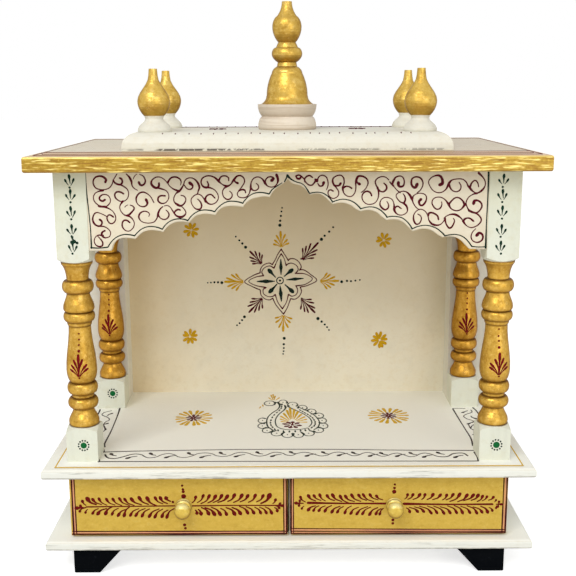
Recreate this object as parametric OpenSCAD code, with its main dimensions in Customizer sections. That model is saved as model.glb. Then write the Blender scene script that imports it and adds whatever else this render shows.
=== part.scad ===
// Hand-painted wooden home temple with two drawers, turned posts and turned finials.

/* [Overall] */
// Width of the roof board
roof_w = 457; // [380:1:560]
// Depth of the roof board
roof_d = 318; // [265:1:400]
// Height of the posts between floor and roof
post_h = 271.5; // [230:0.5:340]

/* [Boards] */
// Thickness of the roof board
roof_t = 14; // [9:0.5:18]
// Thickness of the floor board
floor_t = 10; // [8:0.5:15]
// Thickness of the base plate
base_t = 9; // [8:0.5:15]
// How far the floor board stops short of the roof's edge, each side
floor_inset = 0.5; // [0:0.5:10]
// How far the base plate stops short of the roof's edge, each side
base_inset = 1; // [0:0.5:10]
// Radius of the rounded edges of the floor and base boards
board_edge_r = 3; // [1:0.5:3.5]
// Width of the low border round the floor board's raised middle
floor_border = 9; // [5:0.5:15]
// Height of the step at that border
floor_step = 0.8; // [0.4:0.1:1.5]
// Radius that softens the roof board's edges
roof_edge_r = 2; // [0.5:0.1:3]

/* [Feet] */
// Height of the feet
foot_h = 24.5; // [15:0.5:35]
// Width of a foot where it meets the base plate
foot_top_w = 45.5; // [34:0.5:55]
// Width of a foot where it stands on the floor
foot_bottom_w = 23.5; // [18:0.5:30]
// Bevel round the lower edges of a foot
foot_bevel = 1; // [0.4:0.1:2]
// Distance from the base plate's side edge to a foot
foot_side_inset = 25; // [10:1:40]
// Distance from the base plate's front or rear edge to a foot
foot_front_inset = 5; // [2:1:20]

/* [Posts] */
// Side of the square post section
post_w = 29; // [24:0.5:38]
// Roof overhang beyond the posts, at the front and the sides
post_overhang = 21; // [12:0.5:30]
// Spacing of the front and rear posts, centre to centre
post_pitch = 154; // [120:1:190]
// Height of the square block at a post's foot
post_base_h = 33; // [22:0.5:45]
// Height of the square block at a post's head
post_head_h = 82.5; // [60:0.5:100]
// How far the widest turned ring lies inside the blocks' faces
turned_inset = 0.1; // [0:0.1:2]
// Diameter of the turned shaft at its necks
neck_d = 20.4; // [14:0.1:22]
// Height of the turned shoulder at the corners of each square block
shoulder_h = 3.8; // [1:0.1:6]

/* [Turned shaft, from the bottom up; the parts share out the shaft's length] */
// Rounded edge of the foot bell
foot_round_h = 3.5; // [2:0.1:6]
// Foot bell above that edge
foot_bell_h = 12.8; // [8:0.1:18]
// Lower ring
lower_ring_h = 11; // [7:0.1:15]
// Neck between the two lower rings
neck_h = 3.4; // [1:0.1:5]
// Second ring
second_ring_h = 11; // [7:0.1:15]
// Lower part of the belly, up to its widest
belly_low_h = 11.9; // [8:0.1:18]
// Upper part of the belly, up to its neck
belly_top_h = 42.2; // [28:0.1:56]
// Flare under the collar ring
cove_h = 3.9; // [1:0.1:7]
// Collar ring
collar_ring_h = 9.4; // [6:0.1:13]
// Rounded edge of the upper bell
bell_round_h = 3.4; // [2:0.1:6]
// Upper bell above that edge
upper_bell_h = 14.1; // [9:0.1:20]
// Ring above the upper bell
cap_ring_h = 12; // [7:0.1:16]
// Hollow flare under the head block
flare_h = 14.4; // [9:0.1:20]
// Rounded rim at the top of that flare
rim_h = 3; // [1:0.1:6]

/* [Back] */
// Width of the flat stiles behind the rear posts
stile_w = 46; // [32:1:60]
// Thickness of the stiles
stile_t = 28; // [16:1:35]
// Thickness of the back panel
panel_t = 6; // [4:0.5:12]

/* [Valance] */
// Thickness of the scalloped front valance
valance_t = 9; // [6:0.5:15]
// How far the valance sits behind the faces of the front posts
valance_recess = 0.8; // [0:0.1:4]
// Depth of the valance beside the posts
valance_drop = 72; // [60:0.5:90]
// Depth of the valance at its middle point
valance_apex = 9; // [7:0.5:18]
// Width of the flat foot at each end of the valance
valance_foot = 18; // [10:0.5:25]
// Number of points between the foot and the middle arch, on each side
scallops = 7; // [5:1:9]
// Bow of each scallop, as a share of its width
scallop_bow = 0.18; // [0.12:0.01:0.3]
// Half the width of the pointed middle arch
mid_arch_w = 16.8; // [12:0.2:22]
// Rise of the middle arch
mid_arch_h = 15.5; // [11:0.5:20]

/* [Drawers] */
// Height of the drawer carcass between base plate and floor board
carcass_h = 62; // [50:0.5:90]
// How far the carcass sides stand in from the posts' outer faces
carcass_inset = 1.5; // [0:0.5:10]
// Thickness of the carcass boards
carcass_t = 9; // [8:0.5:14]
// Thickness of the drawer fronts
front_t = 8.5; // [6:0.5:14]
// Gap between the two drawer fronts
front_gap = 3; // [2:0.1:6]
// Gap above and below a drawer front
front_reveal = 2; // [1:0.1:4]
// How far a drawer front stops short of the carcass side
front_side_reveal = 1; // [0.5:0.1:4]
// Thickness of the drawer sides and back
drawer_side_t = 7; // [5:0.5:10]
// Thickness of the drawer bottom
drawer_bottom_t = 3.5; // [2.5:0.5:6]
// Clearance above the drawer sides
drawer_headroom = 9; // [3:0.5:15]
// Clearance between a drawer box and the carcass back
drawer_rear_gap = 14; // [4:1:40]
// Height of the drawer bottom above the drawer's lower edges
drawer_bottom_lift = 4; // [2:0.5:8]
// Clearance on each side of a drawer box
drawer_side_gap = 1; // [0.6:0.1:2]
// Distance from a drawer front's middle to its knob, towards the other drawer
knob_shift = 4.5; // [0:0.5:10]
// Diameter of the knobs
knob_d = 16; // [10:0.5:22]
// Length of the knobs
knob_len = 17; // [12:0.5:24]

/* [Plinth and finials] */
// Width of the plinth on the roof
plinth_w = 312; // [250:1:360]
// Depth of the plinth
plinth_d = 156; // [130:1:220]
// Thickness of the plinth
plinth_t = 16.5; // [12:0.5:22]
// Radius of the plinth's rounded upper edge
plinth_edge_r = 13; // [8:0.5:14]
// Distance from the plinth's edges to the corner finials' axes
finial_inset = 28; // [22:0.5:40]
// Height of a corner finial's turned foot
finial_foot_h = 12.6; // [9:0.1:18]
// Diameter of a corner finial's turned foot
finial_foot_d = 32.4; // [24:0.2:40]
// Diameter of a corner finial's bulb
finial_bulb_d = 31.2; // [22:0.2:40]
// Height of the collar under the bulb
finial_collar_h = 2.4; // [1:0.1:4]
// Height of the bulb below its widest point
finial_bulb_low_h = 13.8; // [9:0.1:19]
// Height from the bulb's widest point to its neck
finial_bulb_top_h = 24; // [16:0.1:32]
// Height of the cut-off neck
finial_neck_h = 6.4; // [3:0.1:10]

/* [Centre finial] */
// Diameter of the rounded foot
centre_foot_d = 59; // [44:0.5:76]
// Height of the rounded foot
centre_foot_h = 13; // [9:0.5:18]
// Height of the flared collar above the rounded foot
centre_collar_h = 12; // [8:0.5:16]
// Diameter at the top of the flared collar
centre_collar_d = 59.5; // [50:0.5:68]
// Diameter at the mouth of the bell
bell_d = 53; // [44:0.5:56]
// Height of the bell's flared lip
bell_lip_h = 8; // [5:0.2:11]
// Height of the bell between its lip and its shoulder
bell_side_h = 22.2; // [16:0.2:30]
// Height of the bell's shoulder
bell_shoulder_h = 7; // [5:0.2:10]
// Height of the ring above the bell
spire_ring_h = 3.6; // [2:0.2:6]
// Height of the flattened ball
spire_ball_h = 14.6; // [10:0.2:19]
// Diameter of the flattened ball
spire_ball_d = 30.6; // [24:0.2:36]
// Height of the ring between the flattened ball and the bulb
spire_upper_ring_h = 5.1; // [3:0.1:8]
// Height of the bulb below its widest point
spire_bulb_low_h = 14.9; // [10:0.1:19]
// Height of the bulb above its widest point
spire_bulb_top_h = 9.8; // [7:0.1:13]
// Diameter of the bulb
spire_bulb_d = 29.2; // [24:0.2:36]
// Height of the tapered tip
spire_tip_h = 14.5; // [9:0.1:20]
// Diameter of the rings and of the bulb's groove
spire_neck_d = 18.8; // [14:0.2:22]
// Diameter of the cut-off tip
spire_tip_d = 10; // [6:0.2:14]

/* [Hidden] */

cream = [0.91, 0.89, 0.83];
gold = [0.80, 0.62, 0.22];
black = [0.03, 0.03, 0.03];
bare_wood = [0.80, 0.70, 0.54];
$fn = 64;
ARC_STEPS = 6;   // straight steps in each turned quarter round or ogee
EPS = 0.02;      // overlap that makes cuts run clear of a surface
LEFT = -1;
RIGHT = 1;
FRONT = -1;
REAR = 1;

// Heights of the levels, from the floor up
z_base = foot_h;
z_carcass = z_base + base_t;
z_floor = z_carcass + carcass_h;
z_deck = z_floor + floor_t;
z_roof = z_deck + post_h;
z_plinth = z_roof + roof_t;
z_finials = z_plinth + plinth_t;

floor_w = roof_w - 2 * floor_inset;
floor_d = roof_d - 2 * floor_inset;
base_w = roof_w - 2 * base_inset;
base_d = roof_d - 2 * base_inset;

// Posts, stiles and back panel
post_x = roof_w / 2 - post_overhang - post_w / 2;
post_front_y = -roof_d / 2 + post_overhang + post_w / 2;
post_rear_y = post_front_y + post_pitch;
post_face_y = post_front_y - post_w / 2;
stile_y = post_rear_y + post_w / 2;
panel_y = stile_y + stile_t;
bay_w = 2 * post_x - post_w;
back_w = bay_w + 2 * stile_w;

// Drawer carcass and the two drawer bays in it
carcass_w = 2 * post_x + post_w - 2 * carcass_inset;
carcass_front_y = post_face_y;
carcass_d = -2 * carcass_front_y;
drawer_bay_w = (carcass_w - 3 * carcass_t) / 2;
drawer_bay_x = carcass_t / 2 + drawer_bay_w / 2;
drawer_box_w = drawer_bay_w - 2 * drawer_side_gap;
seat_gap = 0.3;  // running gap at a face that slides or closes against another
drawer_front_w = carcass_w / 2 - front_side_reveal - front_gap / 2;
drawer_front_h = carcass_h - 2 * front_reveal;
drawer_front_x = front_gap / 2 + drawer_front_w / 2;
drawer_front_y = carcass_front_y - seat_gap;
drawer_box_z = z_carcass + seat_gap;
drawer_side_h = carcass_h - seat_gap - drawer_headroom;
drawer_len = carcass_d - carcass_t - drawer_rear_gap + seat_gap;

// ---- profiles: each returns [radius, height] points ----

// Curve that swells from r0 out to r1 and back over a height h
function bead(z, h, r0, r1) =
    [for (i = [0:2 * ARC_STEPS]) let (a = 90 * i / ARC_STEPS)
        [r0 + (r1 - r0) * sin(a), z + h * (1 - cos(a)) / 2]];

// S-shaped curve from radius r0 to r1
function ogee(z, h, r0, r1) =
    [for (i = [0:ARC_STEPS]) let (t = i / ARC_STEPS)
        [r0 + (r1 - r0) * (1 - cos(180 * t)) / 2, z + h * t]];

// Arc that leaves r0 sloping and arrives at r1 upright; start is 0 for level, 90 for upright
function arc_out(z, h, r0, r1, start = 0) =
    [for (i = [0:ARC_STEPS]) let (a = start + (90 - start) * i / ARC_STEPS)
        [r0 + (r1 - r0) * (sin(a) - sin(start)) / (1 - sin(start)),
            z + h * (1 - cos(a) / cos(start))]];

// Arc that leaves r0 upright and arrives at r1 sloping; stop is 90 for level, less for steeper
function arc_in(z, h, r0, r1, stop = 90) =
    [for (i = [0:ARC_STEPS]) let (a = stop * i / ARC_STEPS)
        [r0 + (r1 - r0) * (1 - cos(a)) / (1 - cos(stop)), z + h * sin(a) / sin(stop)]];

// Running sum of the first n heights in a list
function sum_to(h, n) = n == 0 ? 0 : h[n - 1] + sum_to(h, n - 1);

// Profile without points that repeat the one before
function tidy(p) = [for (i = [0:len(p) - 1]) if (i == 0 || norm(p[i] - p[i - 1]) > EPS) p[i]];

// Solid of revolution from a list of [radius, height] points
module turned(points) {
    p = tidy(points);
    rotate_extrude()
        polygon(concat([[0, p[0][1]]], p, [[0, p[len(p) - 1][1]]]));
}

// Quarter circle about c, counted from angle a0
function corner(c, r, a0) =
    [for (i = [0:ARC_STEPS]) let (a = a0 + 90 * i / ARC_STEPS) c + r * [cos(a), sin(a)]];

// Cross-section of a board of width w and thickness t, its upper and lower edges rounded
module board_profile(w, t, top_r, low_r) {
    polygon(concat(
        corner([w / 2 - top_r, t - top_r], top_r, 0),
        corner([-w / 2 + top_r, t - top_r], top_r, 90),
        low_r > 0 ? corner([-w / 2 + low_r, low_r], low_r, 180) : [[-w / 2, 0]],
        low_r > 0 ? corner([w / 2 - low_r, low_r], low_r, 270) : [[w / 2, 0]]));
}

// Board centred on the origin, its edges rounded on all four sides
module board(w, d, t, top_r, low_r) {
    intersection() {
        rotate([90, 0, 0]) linear_extrude(d, center = true) board_profile(w, t, top_r, low_r);
        rotate([90, 0, 90]) linear_extrude(w, center = true) board_profile(d, t, top_r, low_r);
    }
}

// ---- base ----

// Foot with upright outer faces, sloping inner faces and a bevelled lower edge
module foot(side, end) {
    x = side * (base_w / 2 - foot_side_inset);
    y = end * (base_d / 2 - foot_front_inset);
    outline = [[0, foot_bevel], [-foot_bevel, 0], [-foot_bottom_w, 0], [-foot_top_w, foot_h], [0, foot_h]];
    color(black) translate([x, y, 0]) scale([side, end, 1]) intersection() {
        translate([0, EPS, 0]) rotate([90, 0, 0]) linear_extrude(foot_top_w + EPS) polygon(outline);
        rotate([90, 0, 90]) translate([0, 0, -foot_top_w - EPS])
            linear_extrude(foot_top_w + 2 * EPS) polygon(outline);
    }
}

module base_plate() {
    color(cream) translate([0, 0, z_base]) board(base_w, base_d, base_t, board_edge_r, board_edge_r);
}

module carcass_side(side) {
    x = side * (carcass_w / 2 - carcass_t / 2);
    color(cream) translate([x - carcass_t / 2, carcass_front_y, z_carcass])
        cube([carcass_t, carcass_d, carcass_h]);
}

module carcass_divider() {
    color(cream) translate([-carcass_t / 2, carcass_front_y, z_carcass])
        cube([carcass_t, carcass_d - carcass_t, carcass_h]);
}

module carcass_back() {
    w = carcass_w - 2 * carcass_t;
    color(cream) translate([-w / 2, carcass_front_y + carcass_d - carcass_t, z_carcass])
        cube([w, carcass_t, carcass_h]);
}

// Floor board with a raised middle inside a rounded border
module floor_board() {
    low_t = floor_t - floor_step;
    color(cream) translate([0, 0, z_floor]) {
        board(floor_w, floor_d, low_t, board_edge_r, board_edge_r);
        translate([0, 0, low_t - EPS])
            board(floor_w - 2 * floor_border, floor_d - 2 * floor_border, floor_step + EPS,
                floor_step * 0.8, 0);
    }
}

// ---- drawers ----

module drawer_front(side) {
    color(gold) translate([side * drawer_front_x - drawer_front_w / 2,
        drawer_front_y - front_t, z_carcass + front_reveal])
        cube([drawer_front_w, front_t, drawer_front_h]);
}

module drawer_sides(side) {
    for (s = [LEFT, RIGHT])
        color(bare_wood) translate([side * drawer_bay_x
            + s * (drawer_box_w / 2 - drawer_side_t / 2) - drawer_side_t / 2,
            drawer_front_y, drawer_box_z])
            cube([drawer_side_t, drawer_len, drawer_side_h]);
}

module drawer_back(side) {
    w = drawer_box_w - 2 * drawer_side_t;
    color(bare_wood) translate([side * drawer_bay_x - w / 2,
        drawer_front_y + drawer_len - drawer_side_t, drawer_box_z])
        cube([w, drawer_side_t, drawer_side_h]);
}

module drawer_bottom(side) {
    w = drawer_box_w - 2 * drawer_side_t;
    color(bare_wood) translate([side * drawer_bay_x - w / 2, drawer_front_y,
        drawer_box_z + drawer_bottom_lift])
        cube([w, drawer_len - drawer_side_t, drawer_bottom_t]);
}

// Knob with a flange against the drawer front, a ring, a swelling body and a domed end
module drawer_knob(side) {
    r = knob_d / 2;
    h = knob_len * [0.14, 0.16, 0.3, 0.32, 0.08];
    color(gold) translate([side * (drawer_front_x - knob_shift), drawer_front_y - front_t,
        z_carcass + carcass_h / 2]) rotate([90, 0, 0])
        turned(concat(bead(0, h[0], r * 0.8, r * 0.96),
            bead(sum_to(h, 1), h[1], r * 0.72, r * 0.84),
            arc_out(sum_to(h, 2), h[2], r * 0.74, r, 40),
            arc_in(sum_to(h, 3), h[3], r, r * 0.72, 65),
            arc_in(sum_to(h, 4), h[4], r * 0.66, r * 0.2)));
}

// ---- posts ----

shaft_parts = [foot_round_h, foot_bell_h, lower_ring_h, neck_h, second_ring_h, belly_low_h,
    belly_top_h, cove_h, collar_ring_h, bell_round_h, upper_bell_h, cap_ring_h, flare_h, rim_h];
shaft_len = post_h - post_base_h - post_head_h;

// Turned shaft between a post's blocks, its parts stretched together to fill the length
module shaft() {
    r = post_w / 2 - turned_inset;
    belly_r = r * 0.98;
    n = neck_d / 2;
    h = shaft_parts * (shaft_len / sum_to(shaft_parts, len(shaft_parts)));
    z = [for (i = [0:len(h)]) sum_to(h, i)];
    turned(concat(
        arc_out(z[0], h[0], belly_r * 0.91, belly_r),
        ogee(z[1], h[1], belly_r, n * 0.94),
        bead(z[2], h[2], n * 0.96, belly_r),
        [[n, z[3]], [n * 1.04, z[4]]],
        bead(z[4], h[4], n * 1.08, belly_r),
        arc_out(z[5], h[5], n * 1.06, belly_r, 25),
        ogee(z[6], h[6], belly_r, n),
        arc_out(z[7], h[7], n, n * 1.12),
        bead(z[8], h[8], n * 1.12, r),
        [[r * 0.85, z[9]]],
        arc_out(z[9], h[9], r * 0.87, r * 0.99, 25),
        ogee(z[10], h[10], r * 0.99, n * 1.03),
        bead(z[11], h[11], n * 1.03, r),
        arc_in(z[12], h[12], n * 0.98, r * 0.95, 60),
        arc_out(z[13], h[13], r * 0.95, r)));
}

// Square block with turned shoulders at one end, the top or the bottom
module block(h, end_up) {
    corner_r = post_w * sqrt(0.5) + EPS;
    translate([0, 0, end_up ? 0 : h]) mirror([0, 0, end_up ? 0 : 1]) intersection() {
        translate([-post_w / 2, -post_w / 2, 0]) cube([post_w, post_w, h]);
        rotate_extrude() polygon([[0, -EPS], [corner_r, -EPS], [corner_r, h - shoulder_h],
            [post_w * 0.485, h], [0, h]]);
    }
}

module post(side, y) {
    translate([side * post_x, y, z_deck]) {
        color(cream) block(post_base_h, true);
        color(gold) translate([0, 0, post_base_h]) shaft();
        color(cream) translate([0, 0, post_h - post_head_h]) block(post_head_h, false);
    }
}

// ---- valance ----

// Points where two scallops meet: evenly spaced and rising towards the middle
scallop_run = bay_w / 2 - valance_foot - mid_arch_w;
scallop_rise = valance_drop - valance_apex - mid_arch_h;
function cusp(i) = [-bay_w / 2 + valance_foot, -valance_drop]
    + [scallop_run, scallop_rise] * i / (scallops - 1);

// Arc from point a to point b that bows upwards by a share of its chord
function scallop_arc(a, b, bow) =
    let (chord = b - a, half = norm(chord) / 2, rise = 2 * half * bow,
        r = (half * half + rise * rise) / (2 * rise), up = [-chord[1], chord[0]] / norm(chord),
        c = (a + b) / 2 + up * (rise - r), reach = asin(half / r), mid = atan2(up[1], up[0]))
    [for (i = [0:ARC_STEPS]) let (t = mid + reach * (1 - 2 * i / ARC_STEPS))
        c + r * [cos(t), sin(t)]];

// Left half of the arch's edge: the scallops, then the middle arch with its hollow peak
peak = [0, -valance_apex];
mid_shoulder = peak - [mid_arch_w * 0.24, mid_arch_h * 0.34];
half_arch = concat(
    [for (i = [0:scallops - 2]) each scallop_arc(cusp(i), cusp(i + 1), scallop_bow)],
    scallop_arc(cusp(scallops - 1), mid_shoulder, scallop_bow * 0.7),
    scallop_arc(mid_shoulder, peak, -scallop_bow * 0.7));
arch_edge = concat(half_arch, [for (i = [len(half_arch) - 2:-1:0]) [-half_arch[i][0], half_arch[i][1]]]);

module front_valance() {
    y = post_face_y + valance_recess + valance_t;
    color(cream) translate([0, y, z_roof]) rotate([90, 0, 0]) linear_extrude(valance_t)
        polygon(tidy(concat([[-bay_w / 2, 0], [-bay_w / 2, -valance_drop]], arch_edge,
            [[bay_w / 2, -valance_drop], [bay_w / 2, 0]])));
}

// ---- back ----

module back_stile(side) {
    x = side * (bay_w / 2 + stile_w / 2);
    color(cream) translate([x - stile_w / 2, stile_y, z_deck]) cube([stile_w, stile_t, post_h]);
}

module back_panel() {
    color(cream) translate([-back_w / 2, panel_y, z_deck]) cube([back_w, panel_t, post_h]);
}

// ---- roof ----

module roof_board() {
    color(cream) translate([0, 0, z_roof]) board(roof_w, roof_d, roof_t, roof_edge_r, roof_edge_r);
}

module roof_plinth() {
    color(cream) translate([0, 0, z_plinth])
        board(plinth_w, plinth_d, plinth_t, plinth_edge_r, 0);
}

// ---- finials ----

// Corner finial: turned foot, collar, and a bulb that draws in to a cut-off neck
module corner_finial(side, end) {
    foot_r = finial_foot_d / 2;
    bulb_r = finial_bulb_d / 2;
    collar_r = bulb_r * 0.55;
    neck_r = bulb_r * 0.25;
    f = finial_foot_h * [0.3, 0.7];
    h = [finial_collar_h, finial_bulb_low_h, finial_bulb_top_h, finial_neck_h];
    translate([side * (plinth_w / 2 - finial_inset), end * (plinth_d / 2 - finial_inset), z_finials]) {
        color(cream) turned(concat(bead(0, f[0], foot_r * 0.95, foot_r),
            ogee(f[0], f[1], foot_r * 0.95, collar_r * 0.98)));
        color(gold) translate([0, 0, finial_foot_h])
            turned(concat([[collar_r, 0], [collar_r * 1.1, h[0]]],
                arc_out(sum_to(h, 1), h[1], collar_r * 1.12, bulb_r, 50),
                ogee(sum_to(h, 2), h[2], bulb_r, neck_r * 1.15),
                [[neck_r, sum_to(h, 4)]]));
    }
}

module centre_finial_base() {
    foot_r = centre_foot_d / 2;
    collar_r = centre_collar_d / 2;
    color(cream) translate([0, 0, z_finials])
        turned(concat(arc_out(0, centre_foot_h * 0.25, foot_r * 0.96, foot_r, 30),
            arc_in(centre_foot_h * 0.25, centre_foot_h * 0.75, foot_r, foot_r * 0.87, 65),
            arc_out(centre_foot_h, centre_collar_h, collar_r * 0.86, collar_r, 30)));
}

// Spire: bell, ring, flattened ball, ring, bulb and cut-off tip
module centre_spire() {
    mouth_r = bell_d / 2;
    neck_r = spire_neck_d / 2;
    ball_r = spire_ball_d / 2;
    bulb_r = spire_bulb_d / 2;
    tip_r = spire_tip_d / 2;
    h = [bell_lip_h, bell_side_h, bell_shoulder_h, spire_ring_h, spire_ball_h,
        spire_upper_ring_h, spire_bulb_low_h, spire_bulb_top_h, spire_tip_h];
    z = [for (i = [0:len(h)]) sum_to(h, i)];
    color(gold) translate([0, 0, z_finials + centre_foot_h + centre_collar_h])
        turned(concat(
            arc_out(z[0], h[0], mouth_r, mouth_r * 0.79, 40),
            arc_in(z[1], h[1], mouth_r * 0.78, mouth_r * 0.59, 20),
            arc_in(z[2], h[2], mouth_r * 0.58, neck_r * 1.06, 55),
            [[neck_r * 1.08, z[3]], [neck_r, z[4]]],
            arc_out(z[4], h[4] * 0.58, neck_r * 0.97, ball_r, 60),
            arc_in(z[4] + h[4] * 0.58, h[4] * 0.42, ball_r, neck_r * 1.26, 75),
            [[neck_r * 1.18, z[5]], [neck_r, z[5] + h[5] * 0.75], [neck_r * 0.92, z[6]]],
            arc_out(z[6], h[6], neck_r * 0.94, bulb_r, 55),
            arc_in(z[7], h[7], bulb_r, neck_r * 1.15, 55),
            arc_out(z[8], h[8], neck_r * 1.1, tip_r, 50)));
}

// ---- assembly ----

foot(LEFT, FRONT);  // foot_front_left
foot(RIGHT, FRONT);  // foot_front_right
foot(LEFT, REAR);  // foot_rear_left
foot(RIGHT, REAR);  // foot_rear_right
base_plate();
carcass_side(LEFT);  // carcass_side_left
carcass_side(RIGHT);  // carcass_side_right
carcass_back();
carcass_divider();
floor_board();
drawer_front(LEFT);  // drawer_left_front
drawer_sides(LEFT);  // drawer_left_sides
drawer_back(LEFT);  // drawer_left_back
drawer_bottom(LEFT);  // drawer_left_bottom
drawer_knob(LEFT);  // drawer_left_knob
drawer_front(RIGHT);  // drawer_right_front
drawer_sides(RIGHT);  // drawer_right_sides
drawer_back(RIGHT);  // drawer_right_back
drawer_bottom(RIGHT);  // drawer_right_bottom
drawer_knob(RIGHT);  // drawer_right_knob
post(LEFT, post_front_y);  // post_front_left
post(RIGHT, post_front_y);  // post_front_right
post(LEFT, post_rear_y);  // post_rear_left
post(RIGHT, post_rear_y);  // post_rear_right
front_valance();
back_stile(LEFT);  // back_stile_left
back_stile(RIGHT);  // back_stile_right
back_panel();
roof_board();
roof_plinth();
corner_finial(LEFT, FRONT);  // corner_finial_front_left
corner_finial(RIGHT, FRONT);  // corner_finial_front_right
corner_finial(LEFT, REAR);  // corner_finial_rear_left
corner_finial(RIGHT, REAR);  // corner_finial_rear_right
centre_finial_base();
centre_spire();
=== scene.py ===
import math
import random

import bmesh
import bpy
from mathutils import Matrix, Vector
from mathutils.bvhtree import BVHTree


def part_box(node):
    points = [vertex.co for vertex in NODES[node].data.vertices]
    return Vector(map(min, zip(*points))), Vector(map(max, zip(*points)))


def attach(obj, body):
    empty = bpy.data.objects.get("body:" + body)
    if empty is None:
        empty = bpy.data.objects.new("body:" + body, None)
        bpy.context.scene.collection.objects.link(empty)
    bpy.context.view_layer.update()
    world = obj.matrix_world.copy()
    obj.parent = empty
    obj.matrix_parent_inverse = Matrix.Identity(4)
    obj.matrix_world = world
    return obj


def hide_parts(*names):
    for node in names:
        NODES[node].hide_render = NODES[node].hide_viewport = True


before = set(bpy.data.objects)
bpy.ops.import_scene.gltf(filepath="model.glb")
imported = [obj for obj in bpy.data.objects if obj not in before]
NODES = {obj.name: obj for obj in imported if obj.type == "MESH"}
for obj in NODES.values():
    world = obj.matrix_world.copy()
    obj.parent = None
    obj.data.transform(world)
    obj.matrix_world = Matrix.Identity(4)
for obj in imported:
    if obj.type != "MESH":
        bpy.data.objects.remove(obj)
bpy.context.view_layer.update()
MM = 0.001
WHITE = (1, 1, 1, 1)


# ---------------------------------------------------------------- camera, light, stage

# The camera stands in front, a little above: its place in mm, its turns in radians.
CAM_POS = (-2.9, -984.2, 446.1)
CAM_PITCH = 0.2038
CAM_YAW = -0.0032
CAM_ROLL = 0.0032
FOCAL_PX = 956.4
IMAGE_PX = 576
SENSOR_WIDTH = 36.0

FLOOR_HALF = 14.0
FLOOR_GREY = (0.86, 0.86, 0.86, 1)
FLOOR_GLOW = 0.66
WORLD_TINT = (1.0, 0.995, 0.98, 1)
WORLD_LIGHT = 0.48
# Name, place, the point it is aimed at, width and height (in metres) and power of each soft light.
AREA_LIGHTS = (("key", (-0.6, -1.4, 1.6), (0, -0.05, 0.12), (1.2, 0.8), 20),
               ("fill", (1.0, -1.9, 0.75), (0, 0, 0.25), (1.4, 1.2), 10))


def add_object(name, data):
    obj = bpy.data.objects.new(name, data)
    bpy.context.scene.collection.objects.link(obj)
    return obj


def make_camera():
    data = bpy.data.cameras.new("camera")
    data.sensor_width = SENSOR_WIDTH
    data.lens = FOCAL_PX / IMAGE_PX * data.sensor_width
    data.clip_start = 0.05
    cam = add_object("camera", data)
    turn = (Matrix.Rotation(CAM_YAW, 4, "Z") @ Matrix.Rotation(math.pi / 2 - CAM_PITCH, 4, "X")
            @ Matrix.Rotation(-CAM_ROLL, 4, "Z"))
    cam.matrix_world = Matrix.Translation(Vector(CAM_POS) * MM) @ turn
    bpy.context.scene.camera = cam


def area_light(name, place, target, size, power):
    data = bpy.data.lights.new(name, "AREA")
    data.shape = "RECTANGLE"
    data.size, data.size_y = size
    data.energy = power
    lamp = add_object(name, data)
    lamp.location = place
    lamp.rotation_euler = (Vector(target) - Vector(place)).to_track_quat("-Z", "Y").to_euler()


def clear_tree(tree):
    tree.nodes.clear()
    return tree


def node_with(tree, kind, **inputs):
    """A new shader node; an underscore in the name of an input stands for a space."""
    node = tree.nodes.new(kind)
    for name, value in inputs.items():
        node.inputs[name.replace("_", " ")].default_value = value
    return node


def seen_directly(tree):
    """1 for camera, glossy and transmission rays, 0 for the rays that light the object."""
    path = tree.nodes.new("ShaderNodeLightPath")
    value = path.outputs["Is Camera Ray"]
    for kind in ("Is Glossy Ray", "Is Transmission Ray"):
        top = tree.nodes.new("ShaderNodeMath")
        top.operation = "MAXIMUM"
        tree.links.new(value, top.inputs[0])
        tree.links.new(path.outputs[kind], top.inputs[1])
        value = top.outputs[0]
    return value


def floor_material():
    """Pale floor that also glows for the camera, so that it is seen as white as the backdrop."""
    mat = bpy.data.materials.new("pale_floor")
    mat.use_nodes = True
    tree = clear_tree(mat.node_tree)
    out = tree.nodes.new("ShaderNodeOutputMaterial")
    paint = node_with(tree, "ShaderNodeBsdfPrincipled", Base_Color=FLOOR_GREY, Roughness=0.9,
                      Specular_IOR_Level=0.2)
    glow = node_with(tree, "ShaderNodeEmission", Color=WHITE)
    share = tree.nodes.new("ShaderNodeMath")
    share.operation = "MULTIPLY"
    share.inputs[1].default_value = FLOOR_GLOW
    add = tree.nodes.new("ShaderNodeAddShader")
    tree.links.new(seen_directly(tree), share.inputs[0])
    tree.links.new(share.outputs[0], glow.inputs["Strength"])
    tree.links.new(paint.outputs[0], add.inputs[0])
    tree.links.new(glow.outputs[0], add.inputs[1])
    tree.links.new(add.outputs[0], out.inputs["Surface"])
    return mat


def make_stage():
    half = FLOOR_HALF
    mesh = bpy.data.meshes.new("floor")
    mesh.from_pydata([(-half, -half, 0), (half, -half, 0), (half, half, 0), (-half, half, 0)],
                     [], [(0, 1, 2, 3)])
    floor = add_object("floor", mesh)
    mesh.materials.append(floor_material())

    world = bpy.data.worlds.new("studio")
    bpy.context.scene.world = world
    world.use_nodes = True
    tree = clear_tree(world.node_tree)
    out = tree.nodes.new("ShaderNodeOutputWorld")
    seen = node_with(tree, "ShaderNodeBackground", Color=WHITE, Strength=1.0)
    lit = node_with(tree, "ShaderNodeBackground", Color=WORLD_TINT, Strength=WORLD_LIGHT)
    mix = tree.nodes.new("ShaderNodeMixShader")
    tree.links.new(seen_directly(tree), mix.inputs[0])
    tree.links.new(lit.outputs[0], mix.inputs[1])
    tree.links.new(seen.outputs[0], mix.inputs[2])
    tree.links.new(mix.outputs[0], out.inputs["Surface"])
    bpy.context.scene.view_settings.view_transform = "Standard"
    for light in AREA_LIGHTS:
        area_light(*light)


# ---------------------------------------------------------------- materials

def srgb(r, g, b):
    """Linear colour from 0-255 display values."""
    def linear(c):
        c /= 255.0
        return c / 12.92 if c <= 0.04045 else ((c + 0.055) / 1.055) ** 2.4
    return (linear(r), linear(g), linear(b), 1.0)


def tinted(color, *factors):
    return tuple(min(1.0, c * k) for c, k in zip(color, factors)) + (1.0,)


def shade(color, k):
    return tinted(color, k, k, k)


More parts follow.
